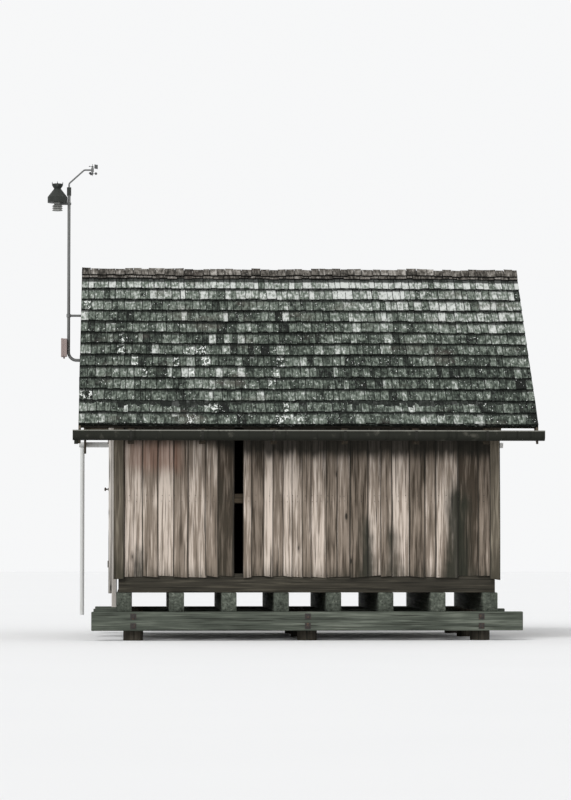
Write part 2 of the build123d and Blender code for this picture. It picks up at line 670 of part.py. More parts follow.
# Strap hinges: a long strap on the leaf with a knuckle that turns on the pintle
with BuildPart() as door_hinges:
    for hinge_bottom in HINGE_HEIGHTS:
        with Locations((HINGE_X, HINGE_Y, hinge_bottom)):
            Cylinder(KNUCKLE_RADIUS, KNUCKLE_HEIGHT, align=BOTTOM)
        strap_middle = hinge_bottom + KNUCKLE_HEIGHT / 2
        with Locations((-LEAF_FACE, HINGE_Y, strap_middle)):
            Box(
                STRAP_THICKNESS,
                STRAP_LENGTH,
                STRAP_WIDTH,
                align=(Align.MAX, Align.MAX, Align.CENTER),
            )
        with Locations((HINGE_X, HINGE_Y, hinge_bottom)):
            Cylinder(
                PIN_RADIUS + PIN_CLEARANCE,
                KNUCKLE_HEIGHT,
                align=BOTTOM,
                mode=Mode.SUBTRACT,
            )
door_hinges.part.label = "door_hinges"
export_step(door_hinges.part, "parts/door_hinges.step")

# Pintles: a plate on the jamb, an arm out under the knuckle and the pin through it
with BuildPart() as door_pintles:
    for hinge_bottom in HINGE_HEIGHTS:
        arm_top = hinge_bottom - PIN_SEAT_GAP
        arm_middle = arm_top - PINTLE_HEIGHT / 2
        with Locations((-CASING_FACE, HINGE_Y, arm_middle)):
            Box(
                PINTLE_PLATE,
                PINTLE_PLATE_WIDTH,
                PINTLE_PLATE_HEIGHT,
                align=(Align.MAX, Align.CENTER, Align.CENTER),
            )
            Box(
                -HINGE_X - CASING_FACE,
                2 * PIN_RADIUS,
                PINTLE_HEIGHT,
                align=(Align.MAX, Align.CENTER, Align.CENTER),
            )
        with Locations((HINGE_X, HINGE_Y, arm_top - PINTLE_HEIGHT)):
            Cylinder(KNUCKLE_RADIUS, PINTLE_HEIGHT, align=BOTTOM)
            Cylinder(PIN_RADIUS, PINTLE_HEIGHT + KNUCKLE_HEIGHT, align=BOTTOM)
door_pintles.part.label = "door_pintles"
export_step(door_pintles.part, "parts/door_pintles.step")

# Turned door knob: a round foot on the leaf, a stem and a flat round head
with BuildPart() as door_handle:
    knob_foot = (-LEAF_FACE, -LEAF_SIDE + KNOB_EDGE, KNOB_HEIGHT)
    with BuildSketch(Plane(origin=knob_foot, x_dir=(0, 1, 0), z_dir=(0, 0, 1))):
        with BuildLine():
            Polyline(
                (0, 0),
                (KNOB_FOOT_RADIUS, 0),
                (KNOB_FOOT_RADIUS, KNOB_FOOT),
                (KNOB_STEM_RADIUS, KNOB_FOOT),
                (KNOB_STEM_RADIUS, KNOB_NECK),
                (KNOB_RADIUS, KNOB_NECK),
                (KNOB_RADIUS, KNOB_REACH),
                (0, KNOB_REACH),
                close=True,
            )
        make_face()
    revolve(axis=Axis(knob_foot, (-1, 0, 0)))
door_handle.part.label = "door_handle"
export_step(door_handle.part, "parts/door_handle.step")


def gutter_plane(face):
    """Upright plane across the gutter of the front (-1) or the back (+1)."""
    return Plane(origin=(0, face * GUTTER_Y, 0), x_dir=(0, 1, 0), z_dir=(1, 0, 0))


def draw_trough(radius, side, mode=Mode.ADD):
    """Draw a gutter outline in the current sketch: round below, upright sides up to the rim."""
    centre = GUTTER_RIM - side
    with BuildLine() as outline:
        Polyline((-radius, centre), (-radius, GUTTER_RIM), (radius, GUTTER_RIM), (radius, centre))
        CenterArc((0, centre), radius, 180, 180)
    make_face(outline.edges(), mode=mode)


# Front gutter, deep and U-shaped, closed at both ends, with its outlet near the left end
with BuildPart() as front_gutter:
    front_gutter_bottom = GUTTER_RIM - FRONT_GUTTER_SIDE - GUTTER_RADIUS
    with BuildSketch(gutter_plane(-1)):
        draw_trough(GUTTER_RADIUS, FRONT_GUTTER_SIDE)
    extrude(amount=GUTTER_X, both=True)
    with Locations((OUTLET_X, -GUTTER_Y, front_gutter_bottom + GUTTER_WALL)):
        Cylinder(OUTLET_RADIUS, OUTLET_LENGTH, align=TOP)
    with BuildSketch(gutter_plane(-1)):
        draw_trough(GUTTER_RADIUS - GUTTER_WALL, FRONT_GUTTER_SIDE)
    extrude(amount=GUTTER_X - GUTTER_WALL, both=True, mode=Mode.SUBTRACT)
    with Locations((OUTLET_X, -GUTTER_Y, front_gutter_bottom + GUTTER_RADIUS)):
        Cylinder(
            OUTLET_RADIUS - GUTTER_WALL,
            GUTTER_RADIUS + OUTLET_LENGTH,
            align=TOP,
            mode=Mode.SUBTRACT,
        )
front_gutter.part.label = "front_gutter"
export_step(front_gutter.part, "parts/front_gutter.step")

# Back gutter, half-round, with its outlet near the left end
with BuildPart() as back_gutter:
    back_gutter_bottom = GUTTER_RIM - BACK_GUTTER_SIDE - GUTTER_RADIUS
    with BuildSketch(gutter_plane(1)):
        draw_trough(GUTTER_RADIUS, BACK_GUTTER_SIDE)
    extrude(amount=GUTTER_X, both=True)
    with Locations((OUTLET_X, GUTTER_Y, back_gutter_bottom + GUTTER_WALL)):
        Cylinder(OUTLET_RADIUS, OUTLET_LENGTH, align=TOP)
    with BuildSketch(gutter_plane(1)):
        draw_trough(GUTTER_RADIUS - GUTTER_WALL, BACK_GUTTER_SIDE)
    extrude(amount=GUTTER_X - GUTTER_WALL, both=True, mode=Mode.SUBTRACT)
    with Locations((OUTLET_X, GUTTER_Y, back_gutter_bottom + GUTTER_RADIUS)):
        Cylinder(
            OUTLET_RADIUS - GUTTER_WALL,
            GUTTER_RADIUS + OUTLET_LENGTH,
            align=TOP,
            mode=Mode.SUBTRACT,
        )
back_gutter.part.label = "back_gutter"
export_step(back_gutter.part, "parts/back_gutter.step")

# Gutter straps, one round each gutter at each rafter end
with BuildPart() as gutter_straps:
    for face, side in ((-1, FRONT_GUTTER_SIDE), (1, BACK_GUTTER_SIDE)):
        with BuildSketch(gutter_plane(face)):
            draw_trough(GUTTER_RADIUS + GUTTER_STRAP_GAP + GUTTER_STRAP, side)
            draw_trough(GUTTER_RADIUS + GUTTER_STRAP_GAP, side, mode=Mode.SUBTRACT)
        one_strap = extrude(amount=GUTTER_STRAP_WIDTH / 2, both=True, mode=Mode.PRIVATE)
        with GridLocations(RAFTER_SPACING, 1, RAFTERS, 1):
            add(one_strap)
gutter_straps.part.label = "gutter_straps"
export_step(gutter_straps.part, "parts/gutter_straps.step")

# Downpipe hanging from the outlet of the back gutter down to just above the water
with BuildPart() as downpipe:
    downpipe_top = back_gutter_bottom - DOWNPIPE_SEAT_GAP
    with Locations((OUTLET_X, GUTTER_Y, DOWNPIPE_FOOT)):
        Cylinder(DOWNPIPE_RADIUS, downpipe_top - DOWNPIPE_FOOT, align=BOTTOM)
        Cylinder(
            DOWNPIPE_RADIUS - DOWNPIPE_WALL,
            downpipe_top - DOWNPIPE_FOOT,
            align=BOTTOM,
            mode=Mode.SUBTRACT,
        )
downpipe.part.label = "downpipe"
export_step(downpipe.part, "parts/downpipe.step")

# Mast: one tube bent from its wall plate outwards and then up
with BuildPart() as mast:
    with BuildLine() as mast_path:
        FilletPolyline(
            (-HALF_LENGTH - MAST_PLATE / 2, 0, MAST_FOOT),
            (MAST_X, 0, MAST_FOOT),
            (MAST_X, 0, MAST_TOP),
            radius=MAST_BEND,
        )
    with BuildSketch(Plane(origin=mast_path.line @ 0, z_dir=mast_path.line % 0)):
        Circle(MAST_RADIUS)
    sweep()
    with Locations((-HALF_LENGTH, 0, MAST_FOOT)):
        Box(
            MAST_PLATE,
            MAST_PLATE_WIDTH,
            MAST_PLATE_HEIGHT,
            align=(Align.MAX, Align.CENTER, Align.CENTER),
        )
mast.part.label = "mast"
export_step(mast.part, "parts/mast.step")


def mast_clamp(middle, height):
    """Ring round the mast, in the current part."""
    with Locations((MAST_X, 0, middle)):
        Cylinder(MAST_RADIUS + MAST_CLAMP_GAP + MAST_CLAMP_WALL, height)


def mast_clamp_bore(middle, height):
    """Hole for the mast through a ring and what is joined to it."""
    with Locations((MAST_X, 0, middle)):
        Cylinder(MAST_RADIUS + MAST_CLAMP_GAP, height, mode=Mode.SUBTRACT)


# Upper arm: wall plate, tube and the ring that holds the mast
with BuildPart() as mast_upper_arm:
    with Locations((-HALF_LENGTH, 0, UPPER_ARM_HEIGHT)):
        Box(
            MAST_PLATE,
            MAST_PLATE_WIDTH,
            MAST_PLATE_HEIGHT,
            align=(Align.MAX, Align.CENTER, Align.CENTER),
        )
        Cylinder(
            UPPER_ARM_RADIUS,
            MAST_OUT,
            rotation=(0, 90, 0),
            align=(Align.CENTER, Align.CENTER, Align.MAX),
        )
    mast_clamp(UPPER_ARM_HEIGHT, MAST_CLAMP_HEIGHT)
    mast_clamp_bore(UPPER_ARM_HEIGHT, MAST_CLAMP_HEIGHT)
mast_upper_arm.part.label = "mast_upper_arm"
export_step(mast_upper_arm.part, "parts/mast_upper_arm.step")

# Grey box on the outer side of the mast, with a lid on its face and a cable gland below
with BuildPart() as junction_box:
    box_right = MAST_X - MAST_RADIUS - PIN_SEAT_GAP
    with Locations((box_right - BOX_WIDTH / 2, 0, BOX_BOTTOM)):
        Box(BOX_WIDTH, BOX_DEPTH, BOX_HEIGHT, align=BOTTOM)
    fillet(junction_box.edges().filter_by(Axis.X), radius=BOX_CORNER)
    with BuildSketch(Plane.YZ.offset(box_right - BOX_WIDTH + BOX_LID)):
        with Locations((0, BOX_BOTTOM + BOX_HEIGHT / 2)):
            RectangleRounded(BOX_DEPTH + 2 * BOX_LID_STEP, BOX_HEIGHT + 2 * BOX_LID_STEP, BOX_CORNER)
    extrude(amount=-BOX_LID)
    with Locations((box_right - BOX_WIDTH / 2, 0, BOX_BOTTOM)):
        Cylinder(GLAND_RADIUS, GLAND_LENGTH, align=TOP)
junction_box.part.label = "junction_box"
export_step(junction_box.part, "parts/junction_box.step")

# Rain collector: a flared hood with a funnel rim above its waist
with BuildPart() as rain_collector:
    rim_top = COLLECTOR_BOTTOM + COLLECTOR_HEIGHT
    with BuildSketch(Plane(origin=(COLLECTOR_X, 0, COLLECTOR_BOTTOM), x_dir=(1, 0, 0), z_dir=(0, -1, 0))):
        with BuildLine():
            Polyline(
                (0, 0),
                (HOOD_RADIUS, 0),
                (HOOD_RADIUS, HOOD_SIDE),
                (WAIST_RADIUS, WAIST_HEIGHT),
                (FUNNEL_RADIUS, COLLECTOR_HEIGHT - FUNNEL_RIM),
                (FUNNEL_RADIUS, COLLECTOR_HEIGHT),
                (FUNNEL_RADIUS - FUNNEL_WALL, COLLECTOR_HEIGHT),
                (FUNNEL_RADIUS - FUNNEL_WALL, COLLECTOR_HEIGHT - FUNNEL_RIM),
                (FUNNEL_OUTLET, COLLECTOR_HEIGHT - FUNNEL_DEPTH),
                (0, COLLECTOR_HEIGHT - FUNNEL_DEPTH),
                close=True,
            )
        make_face()
    revolve(axis=Axis((COLLECTOR_X, 0, 0), (0, 0, 1)))
rain_collector.part.label = "rain_collector"
export_step(rain_collector.part, "parts/rain_collector.step")

# One plate of the radiation shield, dished down from the core to an upright lip
with BuildPart() as shield_plate:
    with BuildSketch():
        RegularPolygon(SHIELD_RADIUS, SHIELD_SIDES)
    extrude(amount=-SHIELD_DISH - SHIELD_LIP)
    plate_face = shield_plate.faces().sort_by(Axis.Z)[-1]
    dish_width = (SHIELD_RADIUS - SHIELD_CORE) * cos(pi / SHIELD_SIDES)
    chamfer(plate_face.edges(), dish_width, SHIELD_DISH, reference=plate_face)

# Radiation shield: stacked plates on a core under the hood
with BuildPart() as radiation_shield:
    shield_height = SHIELD_PLATES * SHIELD_PITCH + BRACKET_THICKNESS
    with BuildSketch(Plane((COLLECTOR_X, 0, COLLECTOR_BOTTOM))):
        RegularPolygon(SHIELD_CORE, SHIELD_SIDES)
    extrude(amount=-shield_height)
    for plate in range(SHIELD_PLATES):
        plate_top = COLLECTOR_BOTTOM - BRACKET_THICKNESS - plate * SHIELD_PITCH
        with Locations((COLLECTOR_X, 0, plate_top)):
            add(shield_plate.part)
radiation_shield.part.label = "radiation_shield"
export_step(radiation_shield.part, "parts/radiation_shield.step")

# Sensor bracket: ring on the mast with an arm under the hood, up to the core of the shield
with BuildPart() as sensor_bracket:
    bracket_middle = COLLECTOR_BOTTOM - BRACKET_THICKNESS / 2
    mast_clamp(bracket_middle, BRACKET_THICKNESS)
    with Locations((MAST_X, 0, bracket_middle)):
        Box(
            COLLECTOR_OUT - SHIELD_CORE - PIN_SEAT_GAP,
            BRACKET_WIDTH,
            BRACKET_THICKNESS,
            align=(Align.MAX, Align.CENTER, Align.CENTER),
        )
    mast_clamp_bore(bracket_middle, BRACKET_THICKNESS)
sensor_bracket.part.label = "sensor_bracket"
export_step(sensor_bracket.part, "parts/sensor_bracket.step")

# Wind arm: sleeve over the mast top, thin swan-neck tube and the head with its two spindles
with BuildPart() as wind_arm:
    sleeve_top = MAST_TOP + MAST_CLAMP_GAP + WIND_SLEEVE_WALL
    sleeve_bore = MAST_RADIUS + MAST_CLAMP_GAP
    with Locations((MAST_X, 0, sleeve_top)):
        Cylinder(sleeve_bore + WIND_SLEEVE_WALL, WIND_SLEEVE_HEIGHT, align=TOP)
    with Locations((MAST_X, 0, MAST_TOP + MAST_CLAMP_GAP)):
        Cylinder(sleeve_bore, WIND_SLEEVE_HEIGHT, align=TOP, mode=Mode.SUBTRACT)
    with BuildLine() as wind_arm_path:
        FilletPolyline(
            (MAST_X, 0, sleeve_top - WIND_ARM_RADIUS / 2),
            (MAST_X, 0, sleeve_top + WIND_ARM_RISE),
            (MAST_X + WIND_ARM_ELBOW_OUT, 0, WIND_ARM_HEIGHT),
            (WIND_HEAD_X, 0, WIND_ARM_HEIGHT),
            radius=WIND_ARM_BEND,
        )
    with BuildSketch(Plane(origin=wind_arm_path.line @ 0, z_dir=wind_arm_path.line % 0)):
        Circle(WIND_ARM_RADIUS)
    sweep()
    with Locations((WIND_HEAD_X, 0, WIND_ARM_HEIGHT)):
        Cylinder(WIND_HEAD_RADIUS, WIND_HEAD_HEIGHT)
        Cylinder(SPINDLE_RADIUS, WIND_HEAD_HEIGHT + 2 * SPINDLE_LENGTH)
wind_arm.part.label = "wind_arm"
export_step(wind_arm.part, "parts/wind_arm.step")


def narrowing_cup(radius, depth):
    """Solid cup with its mouth towards +Y at the origin, narrowing behind its rim."""
    with BuildPart() as cup:
        with BuildSketch(Plane.XZ):
            RegularPolygon(radius, CUP_SIDES)
        extrude(amount=depth)
        tip = cup.faces().sort_by(Axis.Y)[0]
        chamfer(tip.edges(), CUP_RADIUS - CUP_TIP_RADIUS, depth - CUP_RIM, reference=tip)
    return cup.part


cup_body = narrowing_cup(CUP_RADIUS, CUP_DEPTH)
cup_space = narrowing_cup(CUP_RADIUS - CUP_WALL, CUP_DEPTH - CUP_WALL)

# Cup rotor on the lower spindle, each arm ending on the wall of its cup
with BuildPart() as wind_cups:
    hub_middle = WIND_HEAD_BOTTOM - ROTOR_GAP - ROTOR_HUB_HEIGHT / 2
    with Locations((WIND_HEAD_X, 0, hub_middle)):
        Cylinder(ROTOR_HUB_RADIUS, ROTOR_HUB_HEIGHT)
        with PolarLocations(0, CUPS):
            Box(
                CUP_ARM,
                CUP_ARM_WIDTH,
                CUP_ARM_HEIGHT,
                align=(Align.MIN, Align.MAX, Align.CENTER),
            )
        with PolarLocations(CUP_ARM, CUPS):
            add(cup_body)
            add(cup_space, mode=Mode.SUBTRACT)
        Cylinder(SPINDLE_RADIUS + SPINDLE_GAP, ROTOR_HUB_HEIGHT, mode=Mode.SUBTRACT)
wind_cups.part.label = "wind_cups"
export_step(wind_cups.part, "parts/wind_cups.step")

# Wind vane on the upper spindle: hub, rod with a nose weight and an upright tail fin
with BuildPart() as wind_vane:
    vane_middle = WIND_HEAD_TOP + ROTOR_GAP + VANE_HUB_HEIGHT / 2
    with Locations(Location((WIND_HEAD_X, 0, vane_middle), (0, 0, VANE_HEADING))):
        Cylinder(ROTOR_HUB_RADIUS, VANE_HUB_HEIGHT)
        Cylinder(VANE_ROD_RADIUS, VANE_TAIL, rotation=(0, 90, 0), align=BOTTOM)
        Cylinder(VANE_ROD_RADIUS, VANE_NOSE, rotation=(0, 90, 0), align=TOP)
        with Locations((-VANE_NOSE, 0, 0)):
            Cylinder(VANE_WEIGHT_RADIUS, VANE_WEIGHT_LENGTH, rotation=(0, 90, 0))
        with Locations((VANE_TAIL, 0, -VANE_FIN_DROP)):
            Box(
                VANE_FIN_LENGTH,
                VANE_FIN_THICKNESS,
                VANE_FIN_HEIGHT,
                align=(Align.MAX, Align.CENTER, Align.MIN),
            )
        Cylinder(SPINDLE_RADIUS + SPINDLE_GAP, VANE_HUB_HEIGHT, mode=Mode.SUBTRACT)
wind_vane.part.label = "wind_vane"
export_step(wind_vane.part, "parts/wind_vane.step")
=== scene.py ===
"""Small timber hut on piles: its boards, shingles, fastenings and finishes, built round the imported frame.

Everything is in metres, in the frame's own axes: X along the hut, +Y towards its back, +Z up, and Z = 0 at the
water line. What repeats is modelled once and copied, each copy with its own mesh, and joined into one piece.
"""

from __future__ import annotations

import json
import logging
import math
import random
import sys
from contextlib import contextmanager
from dataclasses import dataclass, field
from enum import Enum
from typing import Callable, Iterator, Sequence, Union

import bmesh
import bpy
import numpy as np
from mathutils import Euler, Matrix, Vector

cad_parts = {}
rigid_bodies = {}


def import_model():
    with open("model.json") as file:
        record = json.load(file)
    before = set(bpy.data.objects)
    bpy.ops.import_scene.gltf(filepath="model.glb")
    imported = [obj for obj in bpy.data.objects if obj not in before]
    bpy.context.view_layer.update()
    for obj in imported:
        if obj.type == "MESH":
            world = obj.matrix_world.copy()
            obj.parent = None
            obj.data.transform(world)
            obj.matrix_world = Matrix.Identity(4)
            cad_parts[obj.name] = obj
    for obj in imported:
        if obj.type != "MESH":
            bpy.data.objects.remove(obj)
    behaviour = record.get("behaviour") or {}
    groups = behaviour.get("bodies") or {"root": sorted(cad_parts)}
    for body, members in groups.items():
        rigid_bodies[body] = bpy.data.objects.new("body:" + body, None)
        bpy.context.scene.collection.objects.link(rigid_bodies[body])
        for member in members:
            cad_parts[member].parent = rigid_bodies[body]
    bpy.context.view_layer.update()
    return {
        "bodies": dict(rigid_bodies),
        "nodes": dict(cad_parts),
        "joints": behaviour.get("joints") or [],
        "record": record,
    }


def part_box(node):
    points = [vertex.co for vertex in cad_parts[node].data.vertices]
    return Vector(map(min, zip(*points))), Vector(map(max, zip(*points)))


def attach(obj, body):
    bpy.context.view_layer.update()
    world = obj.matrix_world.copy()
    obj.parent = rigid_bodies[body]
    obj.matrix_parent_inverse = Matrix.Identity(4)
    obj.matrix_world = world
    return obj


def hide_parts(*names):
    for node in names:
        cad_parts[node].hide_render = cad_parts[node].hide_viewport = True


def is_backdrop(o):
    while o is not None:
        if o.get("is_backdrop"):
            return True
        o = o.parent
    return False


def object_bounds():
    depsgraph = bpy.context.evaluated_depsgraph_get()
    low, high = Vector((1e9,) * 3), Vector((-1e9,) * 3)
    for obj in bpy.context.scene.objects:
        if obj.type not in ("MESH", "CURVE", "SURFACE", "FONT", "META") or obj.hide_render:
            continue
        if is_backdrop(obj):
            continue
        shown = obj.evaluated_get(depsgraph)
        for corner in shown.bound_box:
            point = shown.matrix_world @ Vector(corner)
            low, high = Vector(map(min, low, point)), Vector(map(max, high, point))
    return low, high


LOG = logging.getLogger("timber_hut")

Colour = tuple[float, float, float, float]
Point = tuple[float, float, float]

Outline = Sequence[tuple[float, float]]

HUT = "hut"
DOOR = "door"
CUP_ROTOR = "cup_rotor"

# Slope of the roof in degrees, and the radius that stands for a point on a round piece's axis
ROOF_PITCH = 44.0
POINT_RADIUS = 1e-5


def shade(red: int, green: int, blue: int) -> Colour:
    """Linear colour of a display colour.

    Args:
        red: Red, 0 to 255.
        green: Green, 0 to 255.
        blue: Blue, 0 to 255.

    Returns:
        The colour with an alpha of 1.
    """

    def linear(level: int) -> float:
        """Linear value of one display level."""
        part = level / 255
        return part / 12.92 if part <= 0.04045 else ((part + 0.055) / 1.055) ** 2.4

    return (linear(red), linear(green), linear(blue), 1.0)


class Signal:
    """A number in a material that adds Math nodes when it is used in an expression."""

    def __init__(self, graph: "Graph", socket: bpy.types.NodeSocket) -> None:
        """Wrap an output socket of a graph."""
        self.graph = graph
        self.socket = socket

    def _math(self, operation: str, first: "Amount", second: "Amount") -> "Signal":
        """Result of one Math node."""
        node = self.graph.node("ShaderNodeMath", {"operation": operation}, {0: first, 1: second})
        return Signal(self.graph, node.outputs[0])

    def __add__(self, other: "Amount") -> "Signal":
        """Sum."""
        return self._math("ADD", self, other)

    __radd__ = __add__

    def __sub__(self, other: "Amount") -> "Signal":
        """Difference."""
        return self._math("SUBTRACT", self, other)

    def __rsub__(self, other: "Amount") -> "Signal":
        """Difference from a number."""
        return self._math("SUBTRACT", other, self)

    def __mul__(self, other: "Amount") -> "Signal":
        """Product."""
        return self._math("MULTIPLY", self, other)

    __rmul__ = __mul__

    def __or__(self, other: "Amount") -> "Signal":
        """Greater of the two."""
        return self._math("MAXIMUM", self, other)

    def __gt__(self, other: "Amount") -> "Signal":
        """1 where this is greater, else 0."""
        return self._math("GREATER_THAN", self, other)

    def between(self, start: float, end: float) -> "Signal":
        """Smooth step from 0 at one value to 1 at another.

        Args:
            start: Value at which the result is 0.
            end: Value at which the result is 1, which may be below start.

        Returns:
            The stepped signal, held from 0 to 1.
        """
        node = self.graph.node(
            "ShaderNodeMapRange",
            {"interpolation_type": "SMOOTHSTEP"},
            {"Value": self, "From Min": start, "From Max": end},
        )
        return Signal(self.graph, node.outputs[0])


Amount = Union[Signal, float]


class Graph:
    """The nodes of one material or of the world."""

    def __init__(self, owner: Union[bpy.types.Material, bpy.types.World]) -> None:
        """Start with no nodes."""
        self.owner = owner
        owner.use_nodes = True
        self.tree = owner.node_tree
        self.tree.nodes.clear()

    @classmethod
    def of_material(cls, name: str) -> "Graph":
        """Graph of a new material."""
        return cls(bpy.data.materials.new(name))

    def node(self, kind: str, settings: dict | None = None, inputs: dict | None = None) -> bpy.types.Node:
        """Add a node.

        Args:
            kind: The node's type name.
            settings: Properties of the node, set first; "stops" are a ramp's (place, colour) pairs.
            inputs: Values, sockets or signals for its inputs, by name or number.

        Returns:
            The new node.
        """
        node = self.tree.nodes.new(kind)
        for name, value in (settings or {}).items():
            if name == "stops":
                self._set_stops(node.color_ramp, value)
            else:
                setattr(node, name, value)
        for key, value in (inputs or {}).items():
            source = value.socket if isinstance(value, Signal) else value
            if isinstance(source, bpy.types.NodeSocket):
                self.tree.links.new(source, node.inputs[key])
            else:
                node.inputs[key].default_value = source
        return node

    @staticmethod
    def _set_stops(ramp: bpy.types.ColorRamp, stops: Sequence[tuple[float, Colour]]) -> None:
        """Give a colour ramp its stops."""
        while len(ramp.elements) < len(stops):
            ramp.elements.new(1.0)
        for element, (place, colour) in zip(ramp.elements, stops):
            element.position = place
            element.color = colour

    def coordinates(self, turn: Point = (0.0, 0.0, 0.0)) -> bpy.types.NodeSocket:
        """Object coordinates turned by Euler angles in degrees."""
        source = self.node("ShaderNodeTexCoord").outputs["Object"]
        angles = tuple(math.radians(angle) for angle in turn)
        return self.node("ShaderNodeMapping", None, {"Vector": source, "Rotation": angles}).outputs[0]

    def stretched(self, place: bpy.types.NodeSocket, factors: Point) -> bpy.types.NodeSocket:
        """Coordinates multiplied along each axis."""
        node = self.node("ShaderNodeVectorMath", {"operation": "MULTIPLY"}, {0: place, 1: factors})
        return node.outputs[0]

    def shifted(self, place: bpy.types.NodeSocket, amount: Signal) -> bpy.types.NodeSocket:
        """Coordinates moved the same way along all axes by a signal."""
        step = self.node("ShaderNodeCombineXYZ", None, {0: amount, 1: amount, 2: amount}).outputs[0]
        return self.node("ShaderNodeVectorMath", {"operation": "ADD"}, {0: place, 1: step}).outputs[0]

    def axis(self, place: bpy.types.NodeSocket, name: str) -> Signal:
        """One coordinate, named X, Y or Z."""
        return Signal(self, self.node("ShaderNodeSeparateXYZ", None, {0: place}).outputs[name])

    def stored(self, name: str) -> Signal:
        """A number stored on the mesh under a name, or 0 where there is none."""
        node = self.node("ShaderNodeAttribute", {"attribute_type": "GEOMETRY", "attribute_name": name})
        return Signal(self, node.outputs["Fac"])

    def noise(self, place: bpy.types.NodeSocket, scale: float, detail: float = 3.0) -> Signal:
        """Cloudy noise with a mean of about a half."""
        node = self.node("ShaderNodeTexNoise", None, {"Vector": place, "Scale": scale, "Detail": detail})
        return Signal(self, node.outputs[0])

    def cells(self, place: bpy.types.NodeSocket, scale: float) -> tuple[Signal, Signal]:
        """Distance to the nearest scattered point, and that point's own random number."""
        node = self.node("ShaderNodeTexVoronoi", None, {"Vector": place, "Scale": scale})
        parts = self.node("ShaderNodeSeparateColor", None, {0: node.outputs["Color"]})
        return Signal(self, node.outputs["Distance"]), Signal(self, parts.outputs[0])

    def mix(
        self,
        share: Amount,
        first: Union[Colour, bpy.types.NodeSocket],
        second: Union[Colour, bpy.types.NodeSocket],
    ) -> bpy.types.NodeSocket:
        """Blend of two colours: first where share is 0, second where it is 1."""
        node = self.node(
            "ShaderNodeMix",
            {"data_type": "RGBA", "clamp_factor": True},
            {0: share, 6: first, 7: second},
        )
        return node.outputs[2]

    def finish(
        self,
        colour: Union[Colour, bpy.types.NodeSocket],
        roughness: Amount,
        height: Signal,
        relief: float,
        metallic: float = 0.0,
        specular: float = 0.5,
    ) -> bpy.types.Material:
        """Join the surface to the output.

        Args:
            colour: Base colour.
            roughness: Roughness.
            height: Relief from 0 to 1.
            relief: Depth of that relief in metres.
            metallic: 1 for bare metal.
            specular: Specular level of a surface that isn't metal.

        Returns:
            The finished material.
        """
        bump = self.node("ShaderNodeBump", None, {"Height": height, "Distance": relief, "Strength": 1.0})
        surface = self.node(
            "ShaderNodeBsdfPrincipled",
            None,
            {
                "Base Color": colour,
                "Roughness": roughness,
                "Metallic": metallic,
                "Specular IOR Level": specular,
                "Normal": bump.outputs[0],
            },
        )
        self.node("ShaderNodeOutputMaterial", None, {"Surface": surface.outputs[0]})
        return self.owner


class Grain(Enum):
    """Way in which the grain runs, as the turn in degrees that brings it to the pattern's own Z axis."""

    ALONG_X = (0.0, -90.0, 0.0)
    ALONG_Y = (90.0, 0.0, 0.0)
    UPRIGHT = (0.0, 0.0, 0.0)
    UP_FRONT_SLOPE = (90.0 - ROOF_PITCH, 0.0, 0.0)
    UP_BACK_SLOPE = (ROOF_PITCH - 90.0, 0.0, 0.0)


